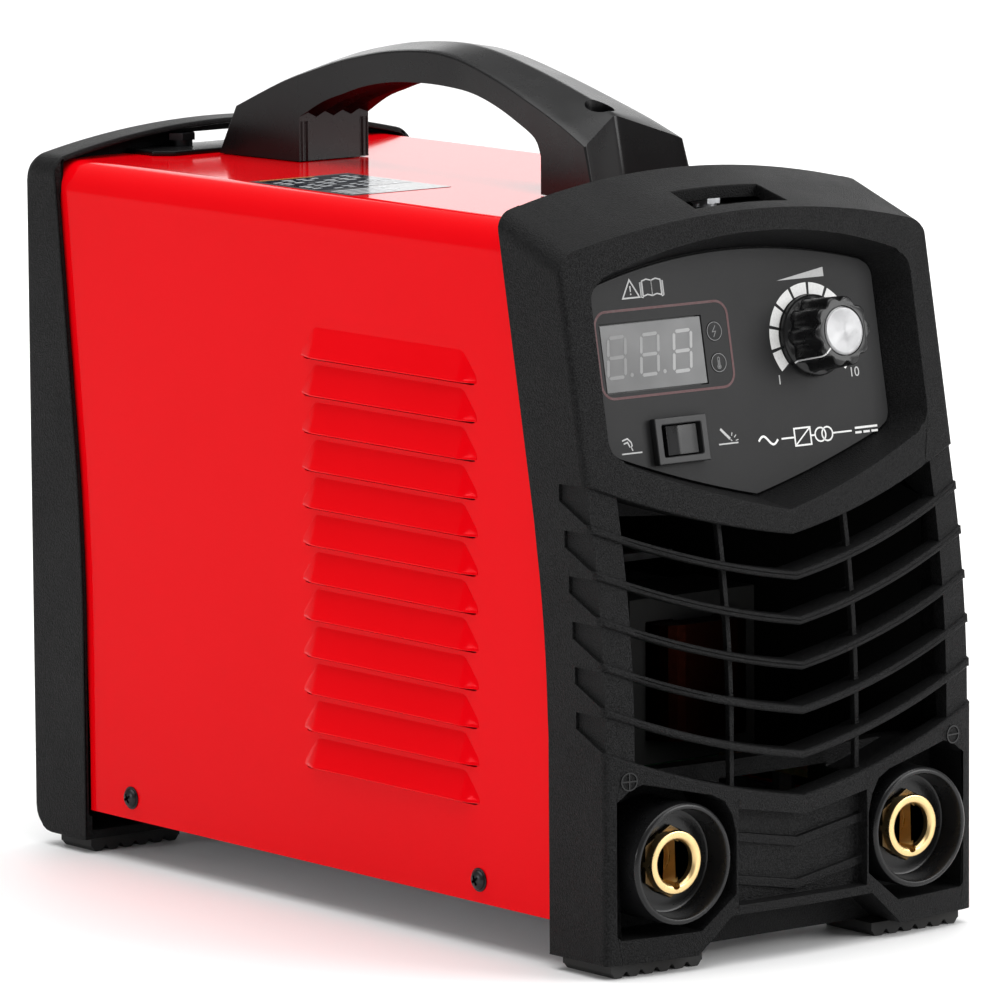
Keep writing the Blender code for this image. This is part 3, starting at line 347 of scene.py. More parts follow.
def soften(obj, width, segments=2, angle=35, clamp=True):
    modifier = obj.modifiers.new("edge", "BEVEL")
    modifier.width = width
    modifier.segments = segments
    modifier.limit_method = "ANGLE"
    modifier.angle_limit = math.radians(angle)
    modifier.use_clamp_overlap = clamp
    modifier.miter_outer = "MITER_ARC"
    modifier.harden_normals = False
    return bake(obj)


def weld(obj, distance=0.02):
    bm = bmesh.new()
    bm.from_mesh(obj.data)
    bmesh.ops.remove_doubles(bm, verts=bm.verts, dist=distance)
    bmesh.ops.dissolve_degenerate(bm, edges=bm.edges, dist=distance)
    bm.to_mesh(obj.data)
    bm.free()
    return obj


def dress(obj, name, finish, smooth):
    """Names a piece, gives it its material and smooths all but its sharp edges."""
    obj.name = name
    obj.data.name = name
    obj.data.materials.clear()
    obj.data.materials.append(MATERIALS[finish])
    obj.data.shade_smooth()
    obj.data.set_sharp_from_angle(angle=math.radians(smooth))


def ride(obj, body, stands_for):
    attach(obj, body)
    if stands_for:
        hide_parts(*stands_for)


def put(obj, name, slot, finish=None, body=ROOT, origin=None, smooth=35, stands_for=()):
    """Moves a finished millimetre mesh to the frame, dresses it and makes it ride.

    The finish is the slot's own unless it is given. origin is the point, in the machine
    frame, that becomes the object's own origin, so that textures in object coordinates
    are centred on it.
    """
    matrix = Matrix.Diagonal((MM, MM, MM, 1)) @ Matrix.Translation((0, SHIFT_Y, 0))
    obj.data.transform(matrix)
    if origin is not None:
        home = matrix @ Vector(origin)
        obj.data.transform(Matrix.Translation(-home))
        obj.location = home
    dress(obj, name, finish or slot, smooth)
    weigh = obj.modifiers.new("weigh", "WEIGHTED_NORMAL")
    weigh.keep_sharp = True
    bake(obj)
    ride(obj, body, stands_for)


# ---------------------------------------------------------------- materials
MATERIALS = {}


class Surface:
    """A Principled material whose colour, roughness and relief follow textures."""

    def __init__(self, name, colour, roughness, metallic=0.0, **sockets):
        MATERIALS[name] = bpy.data.materials.new(name)
        MATERIALS[name].use_nodes = True
        self.tree = MATERIALS[name].node_tree
        self.shader = self.tree.nodes["Principled BSDF"]
        sockets.update(Base_Color=(*colour, 1.0), Roughness=roughness, Metallic=metallic)
        for key, value in sockets.items():
            self.shader.inputs[key.replace("_", " ")].default_value = value

    def node(self, kind, vector=None, **values):
        made = self.tree.nodes.new("ShaderNode" + kind)
        for key, value in values.items():
            if key.replace("_", " ") in made.inputs:
                made.inputs[key.replace("_", " ")].default_value = value
            else:
                setattr(made, key, value)
        if vector is not None:
            self.tree.links.new(vector, made.inputs["Vector"])
        return made

    def place(self, stretch=(1, 1, 1)):
        """The piece's own coordinates, in metres, stretched along its axes."""
        source = self.node("TexCoord").outputs["Object"]
        return self.node("Mapping", source, Scale=stretch).outputs["Vector"]

    def noise(self, scale, detail=3.0, roughness=0.55, stretch=(1, 1, 1)):
        made = self.node("TexNoise", self.place(stretch), Scale=scale, Detail=detail,
                         Roughness=roughness)
        return made.outputs["Fac"]

    def cells(self, scale):
        return self.node("TexVoronoi", self.place(), Scale=scale).outputs["Distance"]

    def drive(self, socket, output):
        self.tree.links.new(output, self.shader.inputs[socket])

    def remap(self, value, low, high, to_low, to_high):
        made = self.node("MapRange", From_Min=low, From_Max=high, To_Min=to_low, To_Max=to_high)
        self.tree.links.new(value, made.inputs["Value"])
        return made.outputs["Result"]

    def rough(self, value, least, most, low=0.3, high=0.7):
        self.drive("Roughness", self.remap(value, low, high, least, most))

    def colour(self, value, dark, light, low=0.3, high=0.7):
        ramp = self.node("ValToRGB")
        for element, position, shade in zip(ramp.color_ramp.elements, (low, high), (dark, light)):
            element.position = position
            element.color = (*shade, 1)
        self.tree.links.new(value, ramp.inputs["Fac"])
        self.drive("Base Color", ramp.outputs["Color"])

    def relief(self, *layers):
        """layers: (height output, strength, distance in metres), the later ones on top."""
        previous = None
        for height, strength, distance in layers:
            made = self.node("Bump", Strength=strength, Distance=distance)
            self.tree.links.new(height, made.inputs["Height"])
            if previous is not None:
                self.tree.links.new(previous, made.inputs["Normal"])
            previous = made.outputs["Normal"]
        self.drive("Normal", previous)


def scaled(colour, factor):
    return tuple(c * factor for c in colour)


def textured_black():
    """Sand-textured moulding: fine raised grain, slightly worn and uneven."""
    surface = Surface("black_textured", (0.013, 0.013, 0.0135), 0.5, Specular_IOR_Level=0.07)
    grain = surface.noise(2500, 2.0, 0.6)
    surface.colour(grain, (0.002, 0.002, 0.0021), (0.016, 0.016, 0.0164), 0.36, 0.66)
    surface.rough(surface.noise(38, 4.0), 0.38, 0.48)
    surface.relief((grain, 0.8, 0.0003), (surface.cells(1900.0), 0.5, 0.00022))


def smooth_black(name="black_smooth", colour=(0.005, 0.005, 0.0053), low=0.22, high=0.36,
                 specular=0.3):
    """Smooth moulded plastic with faint flow marks and handling scuffs."""
    surface = Surface(name, colour, (low + high) / 2, Specular_IOR_Level=specular)
    patches = surface.noise(55, 5.0, 0.65)
    scuffs = surface.noise(900, 2.0, stretch=(1, 1, 0.06))
    surface.rough(patches, low, high, 0.3, 0.75)
    surface.colour(patches, colour, scaled(colour, 1.7), 0.3, 0.8)
    surface.relief((patches, 0.10, 0.0002), (scuffs, 0.05, 0.00005))


def red_paint():
    """Glossy powder coat: orange peel, a hard gloss and slight depth variation."""
    surface = Surface("red_paint", (0.70, 0.001, 0.006), 0.1, Specular_IOR_Level=0.08,
                      Specular_Tint=(1.0, 0.02, 0.05, 1.0))
    fleck = surface.noise(2600, 1.0)
    surface.colour(surface.noise(18, 3.0), (0.69, 0.0006, 0.0035), (0.71, 0.0009, 0.0045))
    surface.rough(fleck, 0.07, 0.13)
    surface.relief((surface.noise(420, 2.0, 0.5), 0.05, 0.00003), (fleck, 0.03, 0.00001))


def turned_metal(name, colour, roughness, pitch, anisotropic=0.0, metallic=1.0):
    """Metal worked on a lathe: fine rings about the piece's own Z axis."""
    surface = Surface(name, colour, roughness, metallic, Anisotropic=anisotropic)
    rings = surface.node("TexWave", surface.place(), wave_type="RINGS", rings_direction="Z",
                         Scale=pitch, Distortion=0.6, Detail=3.0, Detail_Scale=2.0)
    patches = surface.noise(160, 4.0)
    surface.rough(patches, roughness * 0.75, roughness * 1.35)
    surface.colour(patches, scaled(colour, 0.82), colour)
    surface.relief((rings.outputs["Fac"], 0.25, 0.00004))
    if anisotropic:
        tangent = surface.node("Tangent", direction_type="RADIAL", axis="Z")
        surface.drive("Tangent", tangent.outputs["Tangent"])


def plated_steel(name="zinc_steel", colour=(0.62, 0.63, 0.65), roughness=0.34):
    """Metal with a faint spangle, brushed along one axis."""
    surface = Surface(name, colour, roughness, 1.0)
    brushed = surface.noise(900, 3.0, stretch=(1, 0.03, 1))
    surface.colour(surface.cells(260.0), scaled(colour, 0.75), colour, 0.0, 0.8)
    surface.rough(brushed, roughness * 0.8, roughness * 1.3)
    surface.relief((brushed, 0.12, 0.00005))


def rubber(name="rubber"):
    """Matt, slightly dusty rubber; sintered ferrite looks the same."""
    surface = Surface(name, (0.014, 0.014, 0.014), 0.82)
    dust = surface.noise(45, 5.0)
    surface.colour(dust, (0.010, 0.010, 0.010), (0.035, 0.034, 0.032), 0.4, 0.85)
    surface.rough(dust, 0.72, 0.92)
    surface.relief((surface.noise(1300, 4.0, 0.7), 0.4, 0.00012))


def film(name="panel_film", colour=(0.016, 0.016, 0.0164), roughness=0.5):
    """Printed overlay film with a fine velvet texture."""
    surface = Surface(name, colour, roughness, Specular_IOR_Level=0.15)
    velvet = surface.noise(3200, 2.0, 0.6)
    surface.colour(surface.noise(30, 3.0), colour, scaled(colour, 1.25))
    surface.rough(velvet, roughness - 0.06, roughness + 0.08)
    surface.relief((velvet, 0.18, 0.00006))


def ink(name, colour, roughness=0.5):
    """Screen-printed ink, slightly uneven."""
    surface = Surface(name, colour, roughness)
    patchy = surface.noise(1800, 3.0)
    surface.colour(patchy, scaled(colour, 0.86), colour, 0.25, 0.6)
    surface.rough(patchy, roughness - 0.08, roughness + 0.1)
    surface.relief((patchy, 0.1, 0.00003))


def board():
    """Solder mask over fine copper tracks."""
    surface = Surface("board_green", (0.02, 0.16, 0.06), 0.4)
    tracks = surface.node("TexBrick", surface.place(), Scale=55.0).outputs["Fac"]
    surface.colour(tracks, (0.015, 0.13, 0.05), (0.05, 0.30, 0.12), 0.2, 0.8)
    surface.rough(surface.noise(600, 3.0), 0.3, 0.5)
    surface.relief((tracks, 0.2, 0.0001))


def display_lens():
    """Frosted grey lens with painted light: its colour grows lighter towards its right side."""
    surface = Surface("display_lens", (0.09, 0.09, 0.092), 0.32, Coat_Weight=0.1,
                      Coat_Roughness=0.2)
    across = surface.node("SeparateXYZ", surface.place()).outputs["X"]
    half = DISPLAY_HALF[0] * MM
    # Painted light: the colour ramps from dark at the lens's left edge to lighter at its right
    # edge.
    shade = surface.remap(across, -half, half, 0.0, 1.0)
    surface.colour(shade, (0.022, 0.0225, 0.023), (0.05, 0.051, 0.052), 0.0, 1.0)
    surface.rough(surface.noise(60, 3.0), 0.27, 0.4)
    surface.relief((surface.noise(4000, 2.0), 0.2, 0.00003))


def floor_paint():
    surface = Surface("floor_paint", (0.86, 0.86, 0.86), 0.6)
    surface.rough(surface.noise(3.0, 4.0), 0.55, 0.65)


textured_black()
smooth_black()
film()
red_paint()
plated_steel()
plated_steel("black_steel", (0.035, 0.035, 0.037), 0.34)
plated_steel("copper", (0.80, 0.38, 0.22), 0.35)
plated_steel("aluminium", (0.78, 0.79, 0.80), 0.38)
# Painted shade: the winding's copper is darkened almost to black, so that the inside of the
# machine looks dark.
plated_steel("winding", (0.02, 0.004, 0.002), 0.45)
turned_metal("brass", (0.80, 0.58, 0.28), 0.3, 900.0)
# Painted light: a lighter, less metallic copy of brass, so that the socket bores show light where
# they are in shade.
turned_metal("brass_bore_painted_light", (0.85, 0.58, 0.22), 0.42, 900.0, metallic=0.55)
turned_metal("brass_dark", (0.10, 0.065, 0.03), 0.35, 900.0)
turned_metal("spun_aluminium", (0.34, 0.34, 0.345), 0.42, 1400.0, 0.8)
rubber()
rubber("ferrite")
board()
smooth_black("display_grey", (0.085, 0.085, 0.088), 0.3, 0.42)
smooth_black("capacitor_blue", (0.03, 0.05, 0.16), 0.3, 0.45)
smooth_black("fan_black", (0.010, 0.010, 0.010), 0.38, 0.5)
smooth_black("satin_black", (0.004, 0.004, 0.0042), 0.24, 0.32, 0.22)
smooth_black("moulded_dark", (0.012, 0.012, 0.0125), 0.36, 0.5)
# Painted shade: near-black matt sheets put inside the machine where it is in shade.
film("insulation", (0.004, 0.004, 0.004), 0.7)
display_lens()
floor_paint()
ink("ink_white", (0.78, 0.78, 0.77))
ink("ink_grey", (0.42, 0.42, 0.42))
ink("ink_dim", (0.135, 0.135, 0.138))
ink("ink_red", (0.055, 0.006, 0.008))
ink("ink_pointer", (0.6, 0.6, 0.6))
# Painted light: the three unlit digits step from darker on the left to lighter on the right.
for position, level in enumerate((0.15, 0.2, 0.27)):
    ink(f"segment_{position + 1}", (level,) * 3, 0.4)
ink("label_dark", (0.008, 0.012, 0.022), 0.13)
ink("label_pale", (0.62, 0.64, 0.66), 0.2)
ink("label_base", (0.10, 0.105, 0.11), 0.12)
ink("label_amber", (0.55, 0.22, 0.06), 0.2)


def dress_frame():
    """Every CAD node still shown takes the finish of its material slot."""
    for part in frame["record"]["subparts"]:
        obj = frame["nodes"][part["node"]]
        if not obj.hide_render:
            obj.data.materials.clear()
            obj.data.materials.append(MATERIALS[part["material_slot"]])


# ---------------------------------------------------------------- front bezel
RIB_ROUND = 1.0
CREASE_ROUND = 1.6
RIM_ROUND = 1.3


def recess_loop(half, top, bottom, offset, corner=4.0):
    """Outline of the panel recess on a plane parallel to the panel."""
    def upper(x):
        return top - 0.0026 * x * x

    def lower(x):
        return bottom + 0.22 * x + 0.0015 * x * x
    across = spread(3, half - corner, (half - corner - 3) / 11)
    turn = sweep(0, 90, 6)[1:6]
    right = [(x, lower(x)) for x in across]
    right += [(half - corner + corner * math.sin(a),
               lower(half) - 0.9 + (corner + 0.9) * (1 - math.cos(a))) for a in turn]
    right += [(half, lower(half) + corner), (half, upper(half) - corner)]
    right += [(half - corner + corner * math.cos(a),
               upper(half) - corner + (corner + 0.5) * math.sin(a)) for a in turn]
    right += [(x, upper(x)) for x in reversed(across)]
    outline = [(0, bottom)] + right + [(0, top)] + [(-x, z) for x, z in reversed(right)]
    return [(x, lean_plane(z) + offset, z) for x, z in outline]


def wrapped_chevron(x):
    """The chevron, levelled off just before the corner so that it runs round the side."""
    return chevron(min(abs(x), HALF_WIDTH - BAND_RECESS))


def grille_slot(bm, low, high):
    """One chevron slot that goes on as a shallow band round the corners; its lips are round."""
    inner = spread(0, GRILLE_HALF, 4.5)
    stations = [(x, GRILLE_DEPTH) for x in inner]
    stations += [(x, BAND_RECESS) for x in (GRILLE_HALF + 0.2, 62, 65.5, 68, HALF_WIDTH + 2)]
    stations = [(-x, far) for x, far in reversed(stations[1:])] + stations
    loops = []
    for x, far in stations:
        shift = wrapped_chevron(x)
        profile = [(far, 0.0)]
        profile += [(RIB_ROUND * (1 - math.sin(a)), RIB_ROUND * (1 - math.cos(a)))
                    for a in sweep(0, 90, 4)]
        profile.append((-3.0, RIB_ROUND))
        bottom, top = low + shift, high + shift
        loop = [(x, front_y(x, bottom) + y, bottom - grow) for y, grow in profile]
        loop += [(x, front_y(x, top) + y, top + grow) for y, grow in reversed(profile)]
        loops.append(loop)
    add_loft(bm, loops)


def slot_edges():
    edges = []
    low = LOWER_FRAME_Z
    for i in range(RIB_COUNT):
        high = LOWER_FRAME_Z + RIB_PITCH * (i + 1) - RIB_HEIGHT
        edges.append((low, high))
        low = high + RIB_HEIGHT
    return edges + [(low, LIP_Z)]


def front_blank():
    rows = [FLOOR_TO_BEZEL, 35] + spread(LEAN_START_Z, LEAN_FULL_Z, 8)
    loops = []
    for x in columns(HALF_WIDTH):
        crease = CREASE_Z - ARCH * x * x - corner_drop(x, CREASE_CORNER_RADIUS)
        crest = CREST_Z - ARCH * x * x - corner_drop(x, TOP_CORNER_RADIUS)
        crease = min(crease, crest - 1.0)
        turn = corner_drop(x, CREASE_ROUND)
        face = [(x, front_y(x, z) + turn, z) for z in (*rows, crease)]
        back = [(x, flange_y(z), z) for z in (crest, *reversed(rows))]
        loops.append(face + back)
    return loft(loops)


def front_cavity():
    loops = []
    for x in columns(COVER_HALF - 0.9, 6.0, (62.0, 64.0)):
        drop = ARCH * x * x
        crest = CREST_Z - drop - corner_drop(x, TOP_CORNER_RADIUS) - 2.0
        wall = [(16.8, FLOOR_TO_BEZEL + 3), (16.8, 57)]
        wall += [(lean(z) + 4, z) for z in (57.5, 66, 74, 82, 90, 98, 106, 114, 120, 126)]
        sink = drop + 2.5 * corner_drop(x, CREASE_CORNER_RADIUS)
        wall += [(lean(z) + 12.5, z) for z in (131, 203 - sink)]
        roof_y = 24.5 + 0.5 * max(0, abs(x) - 50)
        wall += [(roof_y, 208.5 - sink), (roof_y + 2, 213.0 - sink), (flange_y(CREST_Z), crest)]
        loops.append([(x, y, z) for y, z in wall] + [(x, 62, crest), (x, 62, 7.3)])
    return loft(loops)


def flange_rebate(edge_y, inward, outward):
    rows = [12.2] + spread(LEAN_START_Z, LEAN_FULL_Z, 8) + [204.0]
    inner = [(edge_y(z) + inward, z) for z in rows]
    outer = [(edge_y(z) + outward, z) for z in reversed(rows)]
    return prism(inner + outer, "x", -COVER_HALF - 0.3, COVER_HALF + 0.3)


def bevel_edges(obj, chosen, width, segments, clamp):
    bm = bmesh.new()
    bm.from_mesh(obj.data)
    edges = [edge for edge in bm.edges if len(edge.link_faces) == 2 and chosen(edge)]
    bmesh.ops.bevel(bm, geom=edges, offset=width, offset_type="OFFSET", segments=segments,
                    profile=0.5, affect="EDGES", clamp_overlap=clamp)
    bm.to_mesh(obj.data)
    bm.free()


def on_rim(edge):
    """True where the panel recess meets the front face."""
    on_face = all(abs(v.co.y - front_y(v.co.x, v.co.z)) < 0.04 and abs(v.co.x) < 64
                  and 126 < v.co.z < 211 for v in edge.verts)
    return on_face and edge.calc_face_angle() > 0.6


def on_plain_edge(edge):
    """True on sharp edges, apart from lips and corners that are made round already."""
    if edge.calc_face_angle() < 0.56 or edge.calc_length() < 0.5:
        return False
    middle = (edge.verts[0].co + edge.verts[1].co) / 2
    by_fins = abs(middle.x) > GRILLE_HALF - 0.5 and 56 < middle.z < 140
    by_corner = abs(middle.x) > 60 and middle.z > 192
    return not by_fins and not by_corner


def side_fins(side):
    bm = bmesh.new()
    outside = side * (HALF_WIDTH + 2)
    floor = side * (HALF_WIDTH - BAND_RECESS)
    for low, high in slot_edges():
        top = high + wrapped_chevron(HALF_WIDTH)
        bottom = low + wrapped_chevron(HALF_WIDTH)
        face = lean((top + bottom) / 2)
        outline = [(face - 4, bottom), (face + 1, bottom), (face + 13, top - 4.8),
                   (face + 13, top), (face - 4, top)]
        add_prism(bm, outline, "x", min(outside, floor), max(outside, floor))
    return solid(bm)


def socket_pocket(side):
    outline = [(64.9, 12.9), (63.5, 11.5), (37.1, 11.5), (25.0, 20.9), (25.0, 38.4),
               (26.4, 44.0), (29.0, 48.3), (33.5, 50.6), (56.5, 55.9), (60.6, 54.8), (64.9, 51.3)]
    return prism([(side * x, z) for x, z in outline], "y", -12, 14)


def build_front_bezel():
    bezel = front_blank()
    cut(bezel, front_cavity(), flange_rebate(flange_y, -REBATE_DEPTH, 10))
    join(bezel, box((-26, 21.0, 207.5), (26, 46, 209.5)))
    outer = recess_loop(64.2, 210.2, 128.9, -FRONT_BOW - 4, 6.0)
    floor = recess_loop(53.5, 202.5, 131.8, PANEL_DEPTH + PANEL_THICKNESS + 0.3, 4.0)
    cut(bezel, loft([outer, floor]))
    cut(bezel, loft([recess_loop(51.1, 196.4, 134.6, PANEL_DEPTH - 1),
                     recess_loop(51.1, 196.4, 134.6, PANEL_DEPTH + 12)]))
    weld(bezel)
    bevel_edges(bezel, on_rim, RIM_ROUND, 4, True)
    slots = bmesh.new()
    for low, high in slot_edges():
        grille_slot(slots, low, high)
    cut(bezel, solid(slots))
    for side, _ in SIDES:
        cut(bezel, side_fins(side), socket_pocket(side))
    dividers = bmesh.new()
    rows = [48.1] + spread(LEAN_START_Z, 128.9, 9)
    face = front_y(DIVIDER_X, 0)
    for centre in (-DIVIDER_X, DIVIDER_X):
        near = [(face + lean(z) + 3.8, z) for z in rows]
        far = [(face + lean(z) + 5.8, z) for z in reversed(rows)]
        add_prism(dividers, near + far, "x", centre - 0.85, centre + 0.85)
    join(bezel, solid(dividers))
    outline = [(-24.2, 17.5), (24.2, 17.5), (24.2, 45.6), (0, 41.3), (-24.2, 45.6)]
    cut(bezel, prism(outline, "y", -12, -1.2))
    ribs = bmesh.new()
    for low in (31.4, 18.9):
        add_prism(ribs, [(-24.5, low + 4.5), (0, low), (24.5, low + 4.5), (24.5, low + 7.2),
                         (0, low + 2.9), (-24.5, low + 7.2)], "y", -2.6, 0.4)
    join(bezel, solid(ribs))
    cut(bezel, box((-20, 2.5, 17), (20, 20, 52)))
    for side, _ in SIDES:
        bore(bezel, "y", (side * SOCKET_X, SOCKET_Z), 8, 25, 14.9)
    cut(bezel, prism([(-38, 0), (38, 0), (38, FLOOR_TO_BEZEL), (26.3, 14.7), (-26.3, 14.7),
                      (-38, FLOOR_TO_BEZEL)], "y", -12, 9))
    cut(bezel, prism([(-17, 22.0), (17, 22.0), (16, 34.5), (-16, 34.5)], "z", 211.5, 230))
    weld(bezel)
    bevel_edges(bezel, on_plain_edge, 0.35, 2, False)
    put(bezel, "bezel_front", "black_textured",
        stands_for=["front_bezel"])


# ---------------------------------------------------------------- rear bezel
def build_rear_bezel():
    rows = (12,) + tuple(spread(LEAN_START_Z, LEAN_FULL_Z, 8)) + (200,)
    loops = []
    for x in columns(HALF_WIDTH):
        crest = REAR_CREST_Z - REAR_ARCH * x * x - corner_drop(x, TOP_CORNER_RADIUS)
        back = REAR_FACE_Y - corner_drop(x, 1.6)
        front = [(x, rear_flange_y(z), z) for z in (FLOOR_TO_BEZEL, *rows, crest)]
        turn = sweep(0, 90, 5)
        rear = [(x, back - 4 + 4 * math.sin(a), crest - 4 + 4 * math.cos(a)) for a in turn]
        rear += [(x, back - 8 + 8 * math.cos(a), 12.3 - 8 * math.sin(a)) for a in turn]
        loops.append(front + rear)
    bezel = loft(loops)
    inner_wall = REAR_FACE_Y - 7
    loops = []
    for x in columns(COVER_HALF - 0.9, 6.0, (62.0, 64.0)):
        crest = REAR_CREST_Z - REAR_ARCH * x * x - corner_drop(x, TOP_CORNER_RADIUS) - 1.8
        loops.append([(x, 240, 7.3), (x, 240, crest), (x, inner_wall, crest),
                      (x, inner_wall, 10.3), (x, inner_wall - 4, 7.3)])
    cut(bezel, loft(loops), flange_rebate(rear_flange_y, REBATE_DEPTH, -10))
    top = [(x, 208 - 0.0026 * x * x) for x in spread(56, -56, 8)]
    cut(bezel, prism([(-56, 17.5), (-54.5, 16), (54.5, 16), (56, 17.5)] + top, "y",
                     REAR_PANEL_Y, REAR_FACE_Y + 10))
    grille = bmesh.new()
    for inner, outer in ((8.5, 13), (16, 20.5), (23.5, 28), (31, 35.5), (38.5, 42.5)):
        margin = math.degrees(1.3 / inner)
        for start in (45, 135, 225, 315):
            arc = sector(inner, outer, sweep(start + margin, start + 90 - margin, 14))
            add_prism(grille, moved(arc, 0, FAN_Z), "y", REAR_FACE_Y - 20, REAR_FACE_Y + 5)
    cut(bezel, solid(grille))
    cut(bezel, upright_box(MAINS_X, MAINS_Z, 13.8, 10.3, 265, 300))
    bore(bezel, "y", (GLAND_X, GLAND_Z), 265, 300, 10.1)
    bore(bezel, "y", (EARTH_X, EARTH_Z), 265, 300, 3.2, 24)
    cut(bezel, box((-17, 270, 214.0), (17, 300, 218.2)))
    weld(bezel)
    soften(bezel, 0.6, 2, 32, clamp=False)
    put(bezel, "bezel_rear", "black_textured",
        stands_for=["rear_bezel"])


# ---------------------------------------------------------------- cover
def cover_end(edge_y, offset, away):
    rows = [-5] + spread(LEAN_START_Z, LEAN_FULL_Z, 6) + [240]
    edge = [(edge_y(z) + offset, z) for z in rows]
    far = edge_y(0) + away
    return prism(edge + [(far, 240), (far, -5)], "x", -90, 90)


# Each point of a louvre's end: distance from the end, share of the full height.
LOUVRE_END = ((0, 0.0), (0.5, 0.1), (3.0, 0.5), (5.6, 0.9), (7.2, 1.0))


def louvre_section(side, low, reach, hood, wall):
    """Side view of one hood, from its open lower lip round to the wall above it."""
    points = [(wall, low), (COVER_HALF + reach - 0.3, low), (COVER_HALF + reach, low + 0.3)]
    points += [(COVER_HALF + 0.02 + (reach - 0.02) * (1 - i / 8) ** 1.55,
                low + 0.7 + (hood - 0.7) * i / 8) for i in range(8)]
    points.append((wall, low + hood))
    return [(side * x, z) for x, z in points]


def louvres(side, outer):
    bm = bmesh.new()
    wall = COVER_HALF - (0.4 if outer else 4)
    inset = 0.0 if outer else 1.0
    ends = [(LOUVRE_START_Y + inset + along, share) for along, share in LOUVRE_END]
    stations = ends + [(LOUVRE_START_Y + LOUVRE_LENGTH - y, share)
                       for y, share in reversed(ends)]
    for i in range(LOUVRE_COUNT):
        low = LOUVRE_FIRST_Z + i * LOUVRE_PITCH - (0 if outer else 0.6)
        loops = []
        for y, share in stations:
            reach = (LOUVRE_REACH - inset) * max(share, 0.06) + 0.02
            hood = (LOUVRE_HEIGHT - 2.6 * inset) * (0.2 + 0.8 * share)
            section = louvre_section(side, low, reach, hood, wall)
            loops.append([(x, y, z) for x, z in section])
        add_loft(bm, loops)
    return solid(bm)


def build_cover():
    def fold(half, top, radius):
        return [(half - radius + radius * math.cos(a), top - radius + radius * math.sin(a))
                for a in sweep(90, 0, 14)]
    outer = fold(COVER_HALF, COVER_TOP_Z, 9.0)
    inner = fold(COVER_HALF - 1, COVER_TOP_Z - 1, 8.0)
    outer = [(COVER_HALF - 9.5, COVER_TOP_Z)] + outer + [(COVER_HALF, COVER_TOP_Z - 9.5)]
    outline = [(-COVER_HALF, COVER_BOTTOM_Z)] + [(-x, z) for x, z in reversed(outer)] + outer
    outline += [(COVER_HALF, COVER_BOTTOM_Z), (COVER_HALF - 1, COVER_BOTTOM_Z)]
    outline += list(reversed(inner)) + [(-x, z) for x, z in inner]
    outline += [(-COVER_HALF + 1, COVER_BOTTOM_Z)]
    cover = prism(outline, "y", 8, 275)
    cut(cover, cover_end(flange_y, -REBATE_DEPTH + 0.3, -60))
    cut(cover, box((-80, 0, 206), (80, 47.3, 220)))
    cut(cover, cover_end(rear_flange_y, REBATE_DEPTH - 0.3, 60))
    for side, _ in SIDES:
        join(cover, louvres(side, True))
        cut(cover, louvres(side, False))
    for _, y in SIDE_SCREWS:
        bore(cover, "x", (y, SIDE_SCREW_Z), -80, 80, 2.2, 24)
    for _, y in GRIP_SCREWS:
        bore(cover, "z", (0, y), 200, 230, 2.4, 24)
    weld(cover)
    put(cover, "cover_shell", "red_paint", smooth=38,
        stands_for=["cover"])


# ---------------------------------------------------------------- handle
def grip_half_width(y):
    if y < 140:
        return 12.0 + 6.6 * ((140 - y) / 70) ** 1.35
    if y > 190:
        return 12.0 + 4.0 * ((y - 190) / 60) ** 1.5
    return 12.0


def catmull(points, steps):
    """Smooth curve through the points; each interval is cut into equal steps."""
    result = []
    for i in range(len(points) - 1):
        p0 = points[max(i - 1, 0)]
        p1, p2 = points[i], points[i + 1]
        p3 = points[min(i + 2, len(points) - 1)]
        for k in range(steps):
            t = k / steps
            result.append(tuple(0.5 * (2 * b + (c - a) * t + (2 * a - 5 * b + 4 * c - d) * t * t
                                       + (3 * b - a - 3 * c + d) * t ** 3)
                                for a, b, c, d in zip(p0, p1, p2, p3)))
    return result + [points[-1]]


